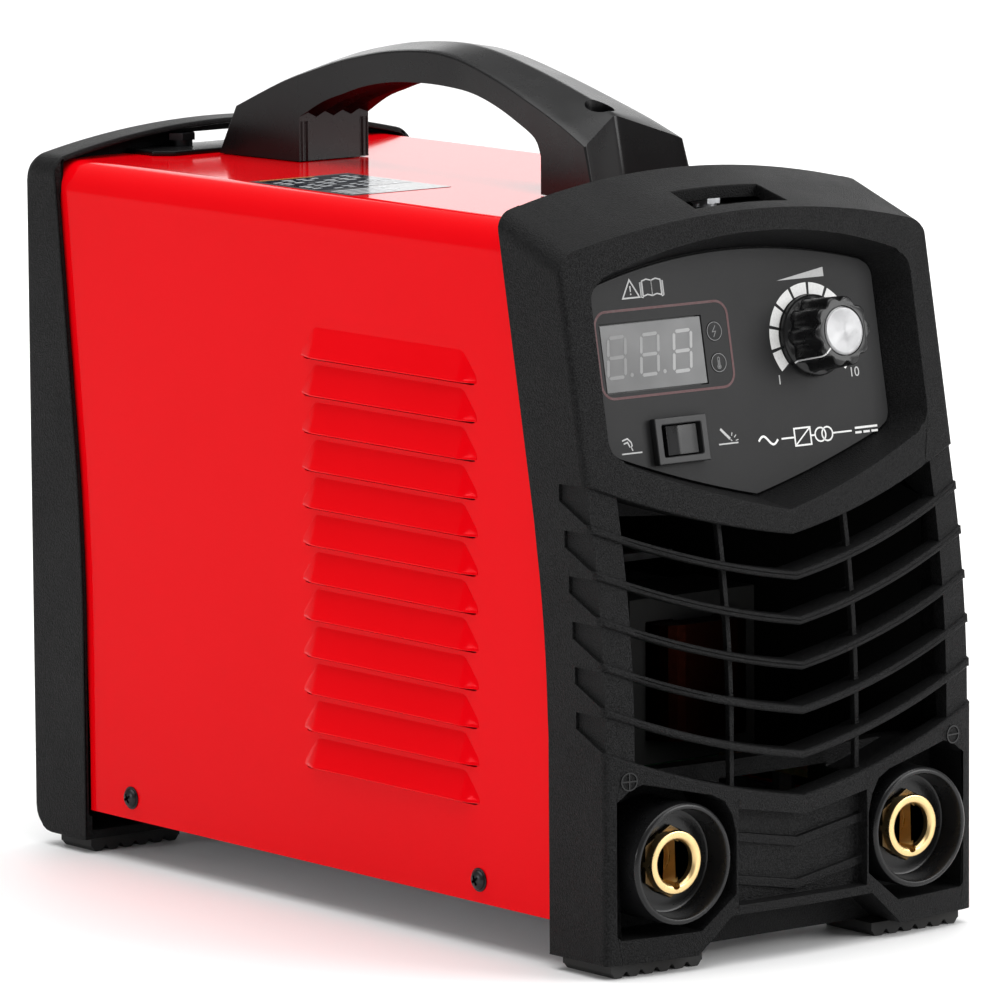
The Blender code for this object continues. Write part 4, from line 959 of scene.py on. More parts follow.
def build_handle():
    """A waisted arch; each station holds outer (y, z), inner (y, z), crown and ridge shares."""
    foot = COVER_TOP_Z + 0.3
    ends = [(254.0, foot, 217.0, foot, 0.0, 0.0)]
    arch = [(246.5, 228.9, 217.0, 227.4, 0.6, 0.6), (226.0, 237.5, 206.0, 232.8, 1.4, 0.9),
            (208.0, 243.2, 196.0, 236.0, 1.4, 1.0), (193.6, 246.9, 185.8, 238.9, 1.2, 1.0),
            (175.0, 250.3, 172.0, 241.2, 1.0, 1.0), (156.0, 251.8, 156.0, 242.0, 0.9, 1.0),
            (143.0, 251.0, 143.0, 241.7, 1.0, 1.0), (130.4, 248.6, 131.5, 240.6, 1.2, 1.0),
            (114.0, 244.4, 120.0, 238.0, 1.4, 1.0), (98.0, 239.6, 108.5, 234.2, 1.6, 0.8),
            (83.3, 234.8, 98.5, 230.0, 1.7, 0.3), (70.9, 230.0, 95.3, 225.0, 1.7, 0.0)]
    tail = [(66.0, foot, 95.3, foot, 0.0, 0.0)]
    stations = ends + catmull(arch, 4) + tail
    crown, notch, edge, ridge = 2.2, 9.0, 0.7, 0.03
    ridges = ((1.0, 0.0), (0.74, 2.0), (0.5, -0.6), (0.25, 2.0), (0.0, -0.6))
    under = list(ridges) + [(-u, rise) for u, rise in reversed(ridges[:-1])]
    across = mirrored([0.0, 0.05, 0.1, 0.17, 0.28, 0.4, 0.55, 0.7, 0.82, 0.92])
    loops = []
    last = len(stations) - 1
    for index, (oy, oz, iy, iz, crown_share, ridge_share) in enumerate(stations):
        top_half = grip_half_width(oy)
        low_half = grip_half_width(iy)
        nearness = 1.0 if index == last else min(1.0, max(0.0, (83.3 - oy) / 12.4))
        toward = Vector((0, iy - oy, iz - oz)).normalized()
        loop = []

        def top_point(u):
            peak = 1 - (math.hypot(u, ridge) - ridge) / (math.hypot(1, ridge) - ridge)
            setback = notch * peak * nearness
            rise = crown * crown_share * peak + 0.38 * setback * (crown_share > 0)
            return Vector((u * top_half, oy + setback, oz + rise))

        def corner(u, angle):
            point = top_point(u)
            point.x -= u * edge * (1 - math.cos(angle))
            return point + toward * (edge * (1 - math.sin(angle)) if crown_share else 0)
        loop += [corner(-1, angle) for angle in sweep(0, 90, 3)]
        loop += [top_point(u) for u in across]
        loop += [corner(1, angle) for angle in sweep(90, 0, 3)]
        for u, rise in under:
            loop.append(Vector((u * low_half, iy, iz + rise * ridge_share)))
        loops.append(loop)
    handle = loft(loops)
    for _, y in GRIP_SCREWS:
        bore(handle, "z", (0, y), 221.5, 262, 4.4, 40)
        bore(handle, "z", (0, y), 200, 228, 2.4, 24)
    for side, _ in SIDES:
        for x, radius in ((10.6, 0.7), (12.4, 0.5)):
            bore(handle, "z", (side * x, 216.8), foot - 1, 226.0, radius, 16)
    weld(handle)
    soften(handle, 0.25, 2, 48)
    put(handle, "carry_handle", "black_textured", "satin_black", smooth=24,
        stands_for=["handle"])


# ---------------------------------------------------------------- control panel
PANEL_MATRIX = (Matrix.Translation((0, lean(LEAN_FULL_Z) + PANEL_DEPTH, LEAN_FULL_Z))
                @ Matrix.Rotation(-PANEL_TILT, 4, "X"))


FACING_FRONT = Matrix.Rotation(math.pi / 2, 3, "X")
FACING_REAR = Matrix.Rotation(-math.pi / 2, 3, "X")


def up_panel(z):
    return (z - LEAN_FULL_Z) / math.cos(PANEL_TILT)


def on_panel(obj):
    obj.data.transform(PANEL_MATRIX)
    return obj


def panel_point(x, z, depth=0.0):
    return PANEL_MATRIX @ Vector((x, depth, up_panel(z)))


def add_ribbon(bm, points, width, low, high, closed=False):
    """A flat printed line through (x, height) points, standing from depth low to high."""
    count = len(points)
    sections = []
    for i, point in enumerate(points):
        here = Vector(point)
        before = Vector(points[i - 1]) if closed or i else None
        after = Vector(points[(i + 1) % count]) if closed or i < count - 1 else None
        ways = [v.normalized() for v in ((here - before) if before is not None else None,
                                         (after - here) if after is not None else None)
                if v is not None]
        mean = sum(ways, Vector((0, 0))).normalized()
        side = Vector((-mean.y, mean.x))
        lengthen = 1 / max(0.35, abs(side.dot(Vector((-ways[0].y, ways[0].x)))))
        side *= width / 2 * lengthen
        left, right = here + side, here - side
        sections.append([(left.x, -low, left.y), (right.x, -low, right.y),
                         (right.x, -high, right.y), (left.x, -high, left.y)])
    add_loft(bm, sections, closed)


class Print:
    """Thin raised print on the panel, drawn in the panel's own x and height."""

    def __init__(self, low=0.02, high=0.07):
        self.bm = bmesh.new()
        self.low, self.high = low, high

    def line(self, points, width, closed=False):
        add_ribbon(self.bm, points, width, self.low, self.high, closed)

    def plate(self, outline):
        add_prism(self.bm, outline, "y", -self.low, -self.high)

    def put(self, name, finish):
        put(on_panel(solid(self.bm)), name, "panel_film", finish)


def print_display_outline():
    mark = Print()
    low, high = up_panel(163.5), up_panel(188.0)
    outline = rounded(24.4, (high - low) / 2, 4.2, 8)
    mark.line(moved(outline, -27.4, (high + low) / 2), 0.75, closed=True)
    mark.put("display_outline", "ink_red")


def print_manual_mark():
    """A warning triangle beside an open book."""
    mark = Print()
    h = up_panel(193.5)
    mark.line([(-40.4, h - 2.3), (-34.2, h - 2.3), (-37.3, h + 2.9)], 0.45, closed=True)
    mark.plate([(-37.55, h + 1.1), (-37.45, h - 0.6), (-37.15, h - 0.6), (-37.05, h + 1.1)])
    mark.plate(moved(ring(0.26, 10), -37.3, h - 1.25))
    x = -29.4
    for side in (-1, 1):
        page = [(x, h - 2.2), (x + side * 1.7, h - 1.75), (x + side * 3.4, h - 2.2),
                (x + side * 3.4, h + 2.2), (x + side * 1.7, h + 2.65), (x, h + 2.2)]
        mark.line(page, 0.38, closed=True)
        mark.line([(x + side * 3.4, h - 2.6), (x + side * 4.2, h - 2.3),
                   (x + side * 4.2, h + 1.9)], 0.3)
        mark.line([(x + side * 3.8, h - 2.0), (x + side * 3.8, h + 2.0)], 0.18)
    mark.put("read_manual_mark", "ink_grey")


def print_indicators():
    """A bolt and a thermometer, each in a ring, on the two indicator lenses."""
    mark = Print(0.13, 0.18)
    for _, x, z in INDICATORS:
        mark.line(moved(ring(2.65, 40), x, up_panel(z)), 0.22, closed=True)
    (_, x, z), (_, far_x, far_z) = INDICATORS
    bolt = [(0.5, 1.6), (-0.75, -0.15), (0.45, -0.05), (-0.45, -1.7)]
    mark.line(moved(bolt, x, up_panel(z)), 0.24)
    h = up_panel(far_z)
    stem = [(0.32 * math.cos(a), 1.3 + 0.32 * math.sin(a)) for a in sweep(0, 180, 6)]
    bulb = [(0.62 * math.cos(a), -1.15 + 0.62 * math.sin(a)) for a in sweep(122, 418, 14)]
    mark.line(moved(stem + bulb, far_x, h), 0.2, closed=True)
    mark.plate(moved(ring(0.36, 14), far_x, h - 1.15))
    mark.line(moved([(0, -1.0), (0, 0.7)], far_x, h), 0.2)
    mark.put("indicator_marks", "ink_dim")


def print_dial_scale():
    mark = Print()
    for i in range(DIAL_BLOCKS):
        start = DIAL_START - 26.4 * i - 1.9
        arc = sector(12.2, 15.6, sweep(start, start - 22.6, 8))
        mark.plate(moved(arc, DIAL_X, up_panel(DIAL_Z)))
    mark.put("dial_scale", "ink_white")


def print_level_wedge():
    mark = Print()
    h = up_panel(193.2)
    mark.plate([(17.0, h - 1.35), (34.8, h - 1.35), (34.8, h + 1.35)])
    mark.put("level_wedge", "ink_grey")


def print_supply_marks():
    """Mains wave, converter box, two coils and direct-current bars, joined by a line."""
    mark = Print()
    h = up_panel(147.0)
    mark.line([(3.0 + 7.2 * i / 20, h + 1.3 * math.sin(2 * math.pi * i / 20))
               for i in range(21)], 0.62)
    mark.plate(rectangle(39.5, h + 0.35, 48.1, h + 1.0))
    for k in range(3):
        mark.plate(rectangle(39.5 + 3.1 * k, h - 1.0, 41.9 + 3.1 * k, h - 0.35))
    for start, end in ((11.6, 16.2), (32.6, 38.2)):
        mark.line([(start, h), (end, h)], 0.5)
    mark.line(rectangle(16.6, h - 2.5, 22.6, h + 2.5), 0.5, closed=True)
    mark.line([(16.9, h - 2.2), (22.3, h + 2.2)], 0.42)
    for k in range(2):
        mark.line(moved(ring(2.0, 28), 26.3 + 2.6 * k, h), 0.48, closed=True)
    for start, end in ((22.9, 24.1), (31.1, 32.8)):
        mark.line([(start, h), (end, h)], 0.5)
    mark.put("supply_marks", "ink_white")


def print_process_marks():
    """A gas-shielded electrode on the left, a coated stick electrode on the right."""
    mark = Print()
    h = up_panel(150.2)
    torch = [(-2.6, 1.9), (-0.6, 1.9), (0.3, 0.5), (0.3, -0.5), (-0.4, -0.9)]
    mark.line(moved(torch, -44.0, h + 0.2, 0.25), 0.42)
    mark.line(moved([(-2.4, 0.9), (-0.9, 0.9), (-0.6, -0.7)], -44.0, h + 0.2, 0.25), 0.42)
    mark.line(moved([(0.3, -0.6), (0.9, -1.9)], -44.4, h + 0.2), 0.34)
    mark.line([(-47.6, h - 2.4), (-40.2, h - 2.4)], 0.42)
    h = up_panel(149.6)
    mark.line(moved([(-2.5, 2.2), (0.7, -0.9)], -8.2, h), 0.75)
    mark.line(moved([(0.9, -1.1), (1.4, -1.6)], -8.2, h), 0.3)
    mark.line([(-11.8, h - 2.2), (-4.6, h - 2.2)], 0.42)
    for angle in (0.2, 0.75, 1.3):
        mark.line(moved([(1.9, 0), (2.9, 0)], -7.3, h - 1.9, angle), 0.26)
    mark.put("process_marks", "ink_grey")


def print_numbers():
    for text, x in (("1", 13.6), ("10", 41.9)):
        data = bpy.data.curves.new("number", "FONT")
        data.body = text
        data.size = 4.0
        data.align_x = data.align_y = "CENTER"
        data.extrude = 0.025
        data.resolution_u = 6
        curve = link("number", data)
        bpy.context.view_layer.update()
        mesh = bpy.data.meshes.new_from_object(curve)
        bpy.data.objects.remove(curve)
        mesh.transform(Matrix.Translation((x, -0.045, up_panel(163.6)))
                       @ Matrix.Rotation(math.pi / 2, 4, "X"))
        put(on_panel(link("number", mesh)), f"dial_number_{text}", "panel_film",
            "ink_grey")


def build_panel():
    outline = [(x, up_panel(z)) for x, _, z in recess_loop(53.0, 202.0, 132.4, 0)]
    plate = prism(outline, "y", 0, PANEL_THICKNESS)
    cut(plate, upright_box(DISPLAY_X, up_panel(DISPLAY_Z), 18.8, 10.0, -5, 5))
    for _, x, z in INDICATORS:
        bore(plate, "y", (x, up_panel(z)), -5, 5, 2.9, 40)
    bore(plate, "y", (DIAL_X, up_panel(DIAL_Z)), -5, 5, 3.8, 40)
    cut(plate, upright_box(MODE_X, up_panel(MODE_Z), 8.2, 5.6, -5, 5))
    weld(plate)
    soften(plate, 0.12, 2, 40, clamp=False)
    put(on_panel(plate), "panel_overlay", "panel_film", stands_for=["control_panel"])
    for name, x, z in INDICATORS:
        lens = lathe([(0, 0.12), (2.3, 0.12), (2.75, 0.0), (2.85, -0.4), (2.85, -1.3),
                      (1.5, -1.3), (1.5, -6.0), (0, -6.0)], 48)
        place(lens, (x, 0, up_panel(z)), FACING_FRONT)
        put(on_panel(lens), f"{name}_lens", "panel_film", stands_for=[f"{name}_indicator"])


def build_display():
    """Frosted lens with three unlit seven-segment digits seen through it."""
    half_x, half_h = DISPLAY_HALF
    h = up_panel(DISPLAY_Z)
    window = upright_box(DISPLAY_X, h, half_x, half_h, 0.15, 1.2)
    soften(window, 0.15, 2)
    put(on_panel(window), "display_lens", "display_grey", "display_lens",
        stands_for=["display_window"], origin=panel_point(DISPLAY_X, DISPLAY_Z))
    wide, tall, half = 6.3, 11.5, 5.75
    thick, slant, gap, taper = 1.0, 0.14, 0.35, 0.45
    bars = [((0, tall), (wide, tall)), ((0, half), (wide, half)), ((0, 0), (wide, 0)),
            ((0, half), (0, tall)), ((wide, half), (wide, tall)), ((0, 0), (0, half)),
            ((wide, 0), (wide, half))]
    for digit in range(3):
        mark = Print(-0.16, -0.11)
        base_x = DISPLAY_X - half_x + 2.6 + 12.13 * digit
        base_h = h + half_h - 3.7 - tall

        def at(a, b):
            return Vector((base_x + a + slant * (b - tall), base_h + b + 0.02 * a))
        for bar in bars:
            start, end = (at(*corner) for corner in bar)
            way = (end - start).normalized()
            side = Vector((-way.y, way.x)) * thick / 2
            s, e = start + way * gap, end - way * gap
            mark.plate([s, s + way * taper - side, e - way * taper - side, e,
                        e - way * taper + side, s + way * taper + side])
        if digit < 2:
            mark.plate(moved(ring(0.62, 16), *at(wide + 2.4, 0.3)))
        put(on_panel(solid(mark.bm)), f"digit_{digit + 1}", "display_grey",
            f"segment_{digit + 1}")


def build_mode_switch():
    h = up_panel(MODE_Z)
    body = upright_box(MODE_X, h, 9.6, 6.75, -2.6, -0.3)
    join(body, upright_box(MODE_X, h, 7.9, 5.3, -1.0, 14.5))
    cut(body, upright_box(MODE_X, h, 7.15, 4.6, -6, 10))
    soften(body, 0.4, 3, 40, clamp=False)
    put(on_panel(body), "mode_switch_frame", "black_smooth", "moulded_dark",
        stands_for=["mode_switch_body"])
    rocker = rocker_paddle(6.3, 4.3, -4.0, 1.4, 2.6, 0.72, math.radians(7), 0.25)
    place(rocker, (MODE_X, 2.2, h))
    put(on_panel(rocker), "mode_paddle", "black_smooth", body="mode_rocker",
        origin=panel_point(MODE_X, MODE_Z, 2.2), stands_for=["mode_switch_rocker"])


def rocker_paddle(half_length, half_height, face, dip, back, share, tilt, bevel):
    """Two shallow dished pads that meet at a ridge in the middle."""
    outline = []
    for i in range(13):
        a = half_length * (i / 6 - 1)
        outline.append((a, face + dip * (1 - abs(a) / half_length) ** 0.8))
    outline += [(half_length * share, back), (-half_length * share, back)]
    c, s = math.cos(tilt), math.sin(tilt)
    paddle = prism([(a * c - b * s, a * s + b * c) for a, b in outline], "z",
                   -half_height, half_height)
    soften(paddle, bevel, 2, 50)
    return paddle


def fit_to_dial(obj, name, slot, finish=None, stands_for=()):
    """Local Z becomes the dial's axis, and the object's own axes follow it."""
    turn = PANEL_MATRIX @ Matrix.Translation((DIAL_X, 0, up_panel(DIAL_Z))) @ FACING_FRONT.to_4x4()
    obj.data.transform(Matrix.Diagonal((MM, MM, MM, 1)))
    home = (turn.translation + Vector((0, SHIFT_Y, 0))) * MM
    obj.matrix_world = Matrix.Translation(home) @ turn.to_3x3().to_4x4()
    dress(obj, name, finish or slot, 40)
    ride(obj, "current_dial", stands_for)


def build_knob():
    """Skirted knob: scooped grip, spun cap, and an index line from the cap to the skirt."""
    lobes, count, scoop = 10, 160, 1.15
    waves = [(0.5 - 0.5 * math.cos(2 * math.pi * lobes * i / count)) ** 1.6
             for i in range(count)]
    # Each level: height, radius, share of the scoops' full depth.
    levels = ((0.5, 11.7, 0.0), (0.7, 12.0, 0.0), (1.7, 12.0, 0.0), (2.2, 11.85, 0.0),
              (2.6, 11.4, 0.0), (2.75, 11.1, 0.55), (3.1, 10.95, 1.0), (5.0, 10.85, 1.1),
              (9.0, 10.7, 1.2), (13.4, 10.5, 1.25), (14.2, 10.35, 1.2), (14.7, 10.1, 1.1),
              (15.0, 9.6, 0.9))
    loops = []
    for height, radius, share in levels:
        loops.append([((radius - scoop * share * wave) * a, (radius - scoop * share * wave) * b,
                       height) for (a, b), wave in zip(ring(1.0, count), waves)])
    knob = loft(loops)
    bore(knob, "z", (0, 0), 14.2, 20, 7.4, 64)
    bore(knob, "z", (0, 0), -2, 11.5, 3.3, 32)
    weld(knob)
    fit_to_dial(knob, "dial_knob", "black_smooth", stands_for=["current_knob"])
    cap = lathe([(0, 15.35), (6.2, 15.35), (6.6, 15.38), (6.95, 15.2), (7.1, 14.9), (7.1, 14.5),
                 (0, 14.5)], 96)
    fit_to_dial(cap, "dial_cap", "spun_aluminium", stands_for=["knob_cap"])
    way = Vector((math.cos(math.radians(DIAL_START)), math.sin(math.radians(DIAL_START)), 0))
    side = Vector((-way.y, way.x, 0)) * 0.22
    loops = []
    for radius, height in ((7.3, 15.08), (9.35, 15.08), (9.9, 14.85), (10.5, 14.3),
                           (10.75, 13.4), (11.05, 5.0), (11.2, 3.0), (11.5, 2.72), (11.9, 2.3)):
        at = way * radius + Vector((0, 0, height))
        drop = Vector((0, 0, -0.16)) if radius < 10 else way * -0.2
        loops.append([at - side, at + side, at + side + drop, at - side + drop])
    fit_to_dial(loft(loops), "dial_pointer", "black_smooth", "ink_pointer")


# ---------------------------------------------------------------- sockets
def build_socket(side):
    hand = "negative" if side > 0 else "positive"
    centre = (side * SOCKET_X, 0, SOCKET_Z)
    rim = 5.4
    cup = [(17.7, rim - 1.0), (17.7, -13.6), (14.5, -13.6), (14.5, -22.5), (9.8, -22.5),
           (9.8, -2.3), (12.3, -2.3), (12.6, -2.5), (14.4, -2.5), (14.9, -2.2), (15.4, 2.6),
           (15.7, rim - 0.7), (16.05, rim - 0.15), (16.5, rim), (17.0, rim - 0.1),
           (17.5, rim - 0.5)]
    housing = place(lathe(cup, 96, closed=True), centre, FACING_FRONT)
    put(housing, f"{hand}_cup", "black_smooth", origin=centre,
        stands_for=[f"{hand}_socket_housing"])
    bm = bmesh.new()
    for start in (40, 160, 280):
        angles = sweep(start, start + 45.6, 19)
        points = [(13.4 * math.cos(a), 13.4 * math.sin(a)) for a in angles]
        add_ribbon(bm, points, 0.28, -2.62, -2.30)
    put(place(solid(bm), centre), f"{hand}_cup_marks", "black_smooth")
    insert = lathe([(9.3, 1.3), (9.3, -30), (6.2, -30), (6.2, -9.0), (6.35, -8.6), (6.5, -8.4),
                    (6.5, 1.1), (6.9, 1.75), (7.2, 1.95), (7.6, 2.0), (8.6, 2.0), (9.0, 1.85)],
                   128, closed=True)
    bore(insert, "z", (0, -6.5), -8.4, 8, 1.4, 32)
    hexagon = prism(ring(10.7, 6, math.pi / 2), "z", -2.1, -0.7)
    bore(hexagon, "z", (0, 0), -5, 5, 9.0, 96)
    soften(hexagon, 0.3, 2, 40)
    back = made(add_rod, (0, 0, -30.0), (0, 0, -22.0), 6.1)
    liner = lathe([(6.18, -22.0), (6.18, -9.2), (6.0, -9.2), (6.0, -22.0)], 96, closed=True)
    join(liner, lathe([(6.48, -9.0), (6.48, -1.0), (6.4, -0.8), (6.3, -1.0), (6.3, -9.0)], 96,
                      closed=True))
    bore(liner, "z", (0, -6.5), -8.4, 8, 1.5, 32)
    # The bore liner takes the copy of brass with painted light.
    put(place(liner, centre, FACING_FRONT), f"{hand}_bore", "brass", "brass_bore_painted_light",
        origin=centre)
    nodes = [f"{hand}_socket_insert"]
    for obj, name, finish, stands_for in ((insert, "insert", "brass", nodes),
                                          (hexagon, "hexagon", "brass_dark", ()),
                                          (back, "bore_end", "brass", ())):
        put(place(obj, centre, FACING_FRONT), f"{hand}_{name}", "brass", finish,
            origin=centre, smooth=30, stands_for=stands_for)


def build_polarity_marks():
    """Raised circle-plus and circle-minus above the sockets, following the bowed face."""
    for name, x, plus in (("positive_mark", -61.3, True), ("negative_mark", 60.4, False)):
        mark = Print(0.0, 0.3)
        mark.line(moved(ring(2.5, 36), x, MARK_Z), 0.42, closed=True)
        mark.line([(x - 2.3, MARK_Z), (x + 2.3, MARK_Z)], 0.42)
        if plus:
            mark.line([(x, MARK_Z - 2.3), (x, MARK_Z + 2.3)], 0.42)
        for vert in mark.bm.verts:
            vert.co.y += front_y(vert.co.x, vert.co.z)
        put(solid(mark.bm), name, "black_textured", "black_smooth")


# ---------------------------------------------------------------- small fittings
def cross_head(radius, crown, shank, length, bite=0.9):
    """Pan head with a cross recess; the head's seat is at height zero."""
    profile = [(0, crown)]
    profile += [(radius * math.sin(a), 0.35 + (crown - 0.35) * math.cos(a))
                for a in sweep(0, 90, 8)[1:]]
    profile += [(radius, 0.0), (shank, 0.0), (shank, -length), (0, -length)]
    screw = lathe(profile, 48)
    floor = crown * 0.38
    for half_x, half_y in ((radius * 0.52, bite / 2), (bite / 2, radius * 0.52)):
        cut(screw, box((-half_x, -half_y, floor), (half_x, half_y, crown + 1)))
    return screw


def build_screws():
    for side, hand in SIDES:
        for end, y in SIDE_SCREWS:
            screw = cross_head(3.0, 1.9, 1.75, 6.0)
            flange = lathe([(0, 0.5), (3.3, 0.45), (3.5, 0.25), (3.5, 0.02), (0, 0.02)], 48)
            join(screw, flange)
            spot = (side * (COVER_HALF + 0.1), y, SIDE_SCREW_Z)
            place(screw, spot, Matrix.Rotation(side * math.pi / 2, 3, "Y")
                  @ Matrix.Rotation(math.radians(28), 3, "Z"))
            put(screw, f"side_screw_{hand}_{end}", "black_steel",
                origin=spot, stands_for=[f"cover_screw_{hand}_{end}"])
    for end, y in GRIP_SCREWS:
        screw = cross_head(3.9, 3.0, 2.0, 19.0, 1.1)
        spot = (0, y, 221.8)
        place(screw, spot, Matrix.Rotation(math.radians(20), 3, "Z"))
        put(screw, f"grip_screw_{end}", "zinc_steel",
            origin=spot, stands_for=[f"handle_screw_{end}"])


def build_feet():
    for side, hand in SIDES:
        for near, far, end in ((2.0, 24.0, "front"), (258.0, 274.0, "rear")):
            top, root = FLOOR_TO_BEZEL - 0.3, 1.6
            outline = [(32.0, top)]
            for i in range(6):
                start = 32.0 + 5.6 * i
                outline += [(start, root), (start + 0.35, root), (start + 1.3, 0.35),
                            (start + 1.75, 0.0), (start + 3.85, 0.0), (start + 4.3, 0.35),
                            (start + 5.25, root)]
            outline += [(65.6, root), (65.6, top)]
            foot = prism([(side * x, z) for x, z in outline], "y", near, far)
            put(foot, f"ridged_foot_{end}_{hand}", "rubber",
                stands_for=[f"foot_{end}_{hand}"])


def build_strap_posts():
    for end, finish, x, y, low, high in (
            ("front", "zinc_steel", 0.0, 38.5, 209.8, 217.2),
            ("rear_left", "black_steel", -18.6, 271.0, 213.8, 219.1),
            ("rear_right", "black_steel", 18.6, 271.0, 213.8, 219.1)):
        post = prism(moved(ring(3.5, 24), x, y), "z", low, high)
        join(post, prism(moved(ring(4.6, 6), x, y), "z", high - 2.2, high - 0.01))
        bore(post, "z", (x, y), high - 3, high + 2, 2.1, 24)
        soften(post, 0.3, 2, 40)
        put(post, f"hex_post_{end}", "zinc_steel", finish,
            origin=(x, y, low), stands_for=[f"strap_post_{end}"])


def build_rear_ledge():
    """Shelf of the rear bezel that laps over the cover and carries the strap posts."""
    outline = [(-36, 262), (-31, 257.5), (31, 257.5), (36, 262), (36, 276.2), (-36, 276.2)]
    ledge = prism(outline, "z", COVER_TOP_Z + 0.05, COVER_TOP_Z + 1.5)
    soften(ledge, 0.4, 2, 40)
    put(ledge, "strap_ledge", "black_textured", "satin_black")


def build_mains_switch():
    face = REAR_PANEL_Y
    body = upright_box(MAINS_X, MAINS_Z, 15.2, 11.2, face + 0.3, face + 2.6)
    join(body, upright_box(MAINS_X, MAINS_Z, 13.4, 9.9, 256, face + 1))
    cut(body, upright_box(MAINS_X, MAINS_Z, 11.6, 8.1, 261, 300))
    soften(body, 0.5, 3, 40, clamp=False)
    put(body, "mains_switch_frame", "black_smooth", "moulded_dark",
        stands_for=["power_switch_body"])
    paddle = rocker_paddle(11.0, 7.7, -4.6, 1.6, 3.4, 8 / 11, math.radians(-7), 0.4)
    axis = (MAINS_X, face - 2.4, MAINS_Z)
    place(paddle, axis, Matrix.Rotation(math.pi, 3, "Z"))
    put(paddle, "mains_paddle", "black_smooth", body="power_rocker", origin=axis,
        stands_for=["power_switch_rocker"])


def build_gland():
    gland = lathe([(8.0, 14.0), (10.2, 13.4), (11.1, 12.2), (11.6, 5.6), (12.4, 5.2), (12.6, 4.6),
                   (12.6, 0.4), (9.8, 0.4), (9.8, -12.0), (5.6, -12.0), (5.6, 13.0),
                   (6.1, 13.7), (6.8, 14.0)], 72, closed=True)
    grips = bmesh.new()
    for a, b in ring(1.0, 18):
        add_rod(grips, (12.3 * a, 12.3 * b, 5.9), (12.0 * a, 12.0 * b, 16), 0.75, 12)
    cut(gland, solid(grips))
    spot = (GLAND_X, REAR_PANEL_Y, GLAND_Z)
    put(place(gland, spot, FACING_REAR), "lead_gland", "black_smooth", origin=spot,
        stands_for=["cord_gland"])


def build_earth_terminal():
    earth = cross_head(5.0, 2.9, 2.9, 9.0, 1.2)
    place(earth, (EARTH_X, REAR_PANEL_Y + 0.3, EARTH_Z), FACING_REAR)
    put(earth, "earth_terminal", "brass", origin=(EARTH_X, REAR_PANEL_Y, EARTH_Z),
        stands_for=["earth_screw"])


# ---------------------------------------------------------------- rating label
def build_label():
    """Blank generic rating plate on top: pale film with plain blocks and no lettering."""
    left, right, near, far = -57.8, -20.9, 131.6, 182.4
    z = COVER_TOP_Z + 0.02
    put(prism(rectangle(left, near, right, far), "z", z, z + 0.10), "label_film",
        "panel_film", "label_base")
    strip, bands, blocks = (bmesh.new() for _ in range(3))

    def block(bm, u0, v0, u1, v1, level):
        add_box(bm, (left + u0 * (right - left), near + v0 * (far - near), z + 0.10),
                (left + u1 * (right - left), near + v1 * (far - near), z + level))
    for v0, v1 in ((0.34, 0.50), (0.54, 0.70), (0.74, 0.95)):
        block(bands, 0.04, v0, 0.96, v1, 0.13)
    for row in range(9):
        v = 0.36 + 0.064 * row
        for column in range(6):
            u = 0.07 + 0.148 * column
            if (row * 5 + column * 3) % 4:
                block(blocks, u, v, u + 0.10 - 0.02 * ((row + column) % 3), v + 0.028, 0.16)
    for row in range(4):
        block(blocks, 0.06, 0.05 + 0.06 * row, 0.50 + 0.1 * (row % 2), 0.078 + 0.06 * row, 0.14)
    block(strip, 0.08, 0.955, 0.62, 0.985, 0.16)
    for bm, name, finish in ((strip, "strip", "amber"), (bands, "bands", "dark"),
                             (blocks, "blocks", "pale")):
        put(solid(bm), f"label_{name}", "panel_film", f"label_{finish}")


# ---------------------------------------------------------------- inside
def build_lining():
    """Black sheets just inside the cover's two sides and top: painted shade that keeps the inside
    of the cover dark.
    """
    inside = COVER_HALF - 1.9
    for side, hand in SIDES:
        loops = []
        for y in spread(18, 268, 12):
            x = side * (inside + 0.35 * math.sin(y / 17.0))
            top = min(203, 150 + 2.2 * (y - 18))
            loops.append([(a, y, b) for a, b in rectangle(x, 31.5, x - side * 0.5, top)])
        # Each side sheet is painted shade: black where the inside of the cover is in shade.
        put(loft(loops), f"insulation_{hand}", "black_smooth", "insulation")
    loops = []
    for y in spread(48, 250, 12):
        z = 208.5 + 0.3 * math.sin(y / 23.0)
        loops.append([(a, y, b) for a, b in rectangle(-56, z, 56, z + 0.5)])
    put(loft(loops), "shade_sheet_top", "black_smooth", "insulation")
    # Painted shade: a black sheet behind the front strap slot, so that no red shows through it.
    liner = prism([(36.0, 213.9), (46.0, 213.9), (46.0, 217.6), (46.6, 217.6), (46.6, 213.6),
                   (36.0, 213.6)], "x", -20, 36)
    put(liner, "strap_slot_shade_sheet", "black_smooth", "insulation")


def build_inductor():
    """Ring core wound with one layer of thick enamelled wire."""
    centre = Vector((-26, 98, 75.9))
    turns, steps = 34, 22
    major, minor, wire, core = 22.0, 10.6, 0.85, 9.4
    across = Vector((0, 1, 0))
    loops = []
    for i in range(turns * steps):
        around = 2 * math.pi * i / (turns * steps)
        along = 2 * math.pi * i / steps
        out = Vector((math.cos(around), 0, math.sin(around)))
        normal = out * math.cos(along) + across * math.sin(along)
        binormal = (across * math.cos(along) - out * math.sin(along)).cross(normal)
        point = out * major + normal * minor
        loops.append([point + normal * a + binormal * b for a, b in ring(wire, 6)])
    # The coil takes the winding finish, darkened as painted shade.
    put(place(loft(loops, cyclic=True), centre), "inductor_coil", "winding", origin=centre,
        stands_for=["output_inductor"])
    loops = []
    for a, b in ring(1.0, 48):
        out = Vector((a, 0, b))
        loops.append([out * (major + u) + across * v for u, v in ring(core, 16)])
    put(place(loft(loops, cyclic=True), centre), "inductor_core", "ferrite", origin=centre)


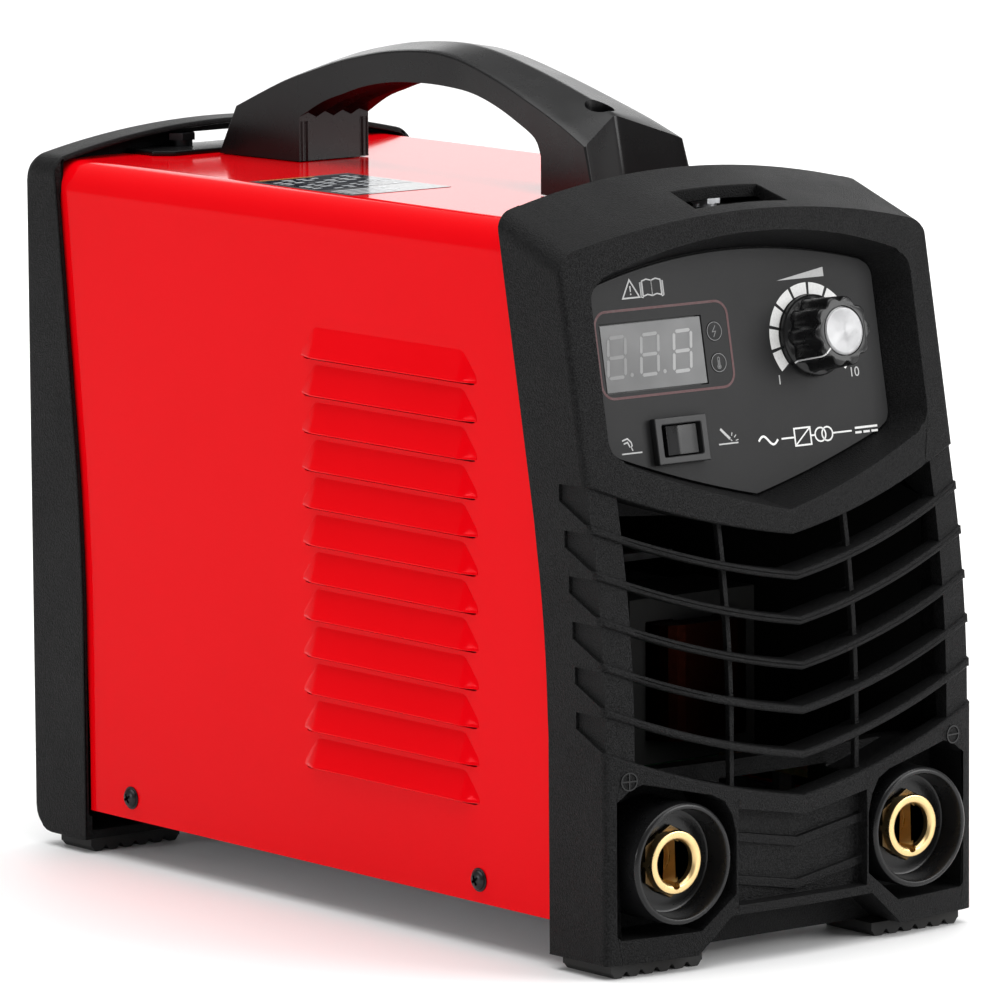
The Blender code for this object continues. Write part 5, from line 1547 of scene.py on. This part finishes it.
# ---------------------------------------------------------------- build
build_front_bezel()
build_rear_bezel()
build_cover()
build_handle()
build_panel()
build_display()
build_mode_switch()
for print_marks in (print_display_outline, print_manual_mark, print_indicators,
                    print_dial_scale, print_level_wedge, print_supply_marks,
                    print_process_marks, print_numbers):
    print_marks()
build_knob()
for socket_side, _ in SIDES:
    build_socket(socket_side)
build_polarity_marks()
build_screws()
build_feet()
build_strap_posts()
build_rear_ledge()
build_mains_switch()
build_gland()
build_earth_terminal()
build_label()
build_lining()
build_inductor()


# ---------------------------------------------------------------- camera and light
CAMERA_AZIMUTH, CAMERA_ELEVATION, CAMERA_ROLL = -38.0, 8.31, -0.4
CAMERA_TARGET = (-12.33, 120.0, 120.10)
CAMERA_DISTANCE = 2.5
FOCAL_SHARE = 8.39621          # focal length over sensor width
LIGHT_TARGET = (0, 0, 0.12)
# Each softbox: name, location, size and power.
SOFTBOXES = (("left_softbox", (-2.0, 0.42, 0.55), (0.3, 0.3), 7),
             ("right_softbox", (1.6, -2.1, 1.2), (1.6, 1.8), 56),
             ("back_softbox", (1.25, 1.6, 0.62), (2.0, 0.9), 6.8))


def build_camera():
    a, e, r = (math.radians(v) for v in (CAMERA_AZIMUTH, CAMERA_ELEVATION, CAMERA_ROLL))
    back = Vector((math.sin(a) * math.cos(e), -math.cos(a) * math.cos(e), math.sin(e)))
    right = Vector((math.cos(a), math.sin(a), 0))
    up = back.cross(right)
    across = right * math.cos(r) + up * math.sin(r)
    upright = up * math.cos(r) - right * math.sin(r)
    data = bpy.data.cameras.new("camera")
    camera = link("camera", data)
    target = (Vector(CAMERA_TARGET) + Vector((0, SHIFT_Y, 0))) * MM
    turn = Matrix((across, upright, back)).transposed().to_4x4()
    camera.matrix_world = Matrix.Translation(target + back * CAMERA_DISTANCE) @ turn
    data.sensor_width = 36.0
    data.lens = FOCAL_SHARE * data.sensor_width
    data.clip_start = 0.1
    data.clip_end = 60.0
    bpy.context.scene.camera = camera


def build_lights():
    world = bpy.data.worlds.new("studio")
    bpy.context.scene.world = world
    world.use_nodes = True
    background = world.node_tree.nodes["Background"]
    background.inputs["Color"].default_value = (1.0, 1.0, 1.0, 1)
    background.inputs["Strength"].default_value = 0.38
    sun = bpy.data.lights.new("overhead", "SUN")
    sun.energy = 3.3
    sun.angle = math.radians(70)
    link("overhead", sun)
    for name, location, size, power in SOFTBOXES:
        data = bpy.data.lights.new(name, "AREA")
        data.shape = "RECTANGLE"
        data.size, data.size_y = size
        data.energy = power
        light = link(name, data)
        light.location = location
        aim = Vector(LIGHT_TARGET) - Vector(location)
        light.rotation_euler = aim.to_track_quat("-Z", "Y").to_euler()


def build_floor():
    floor = box((-6000, -6000, -20), (6000, 6000, 0))
    floor.name = "floor"
    floor.data.transform(Matrix.Diagonal((MM, MM, MM, 1)))
    floor.data.materials.append(MATERIALS["floor_paint"])


bpy.context.scene.view_settings.view_transform = "Standard"
build_camera()
build_floor()
build_lights()
dress_frame()
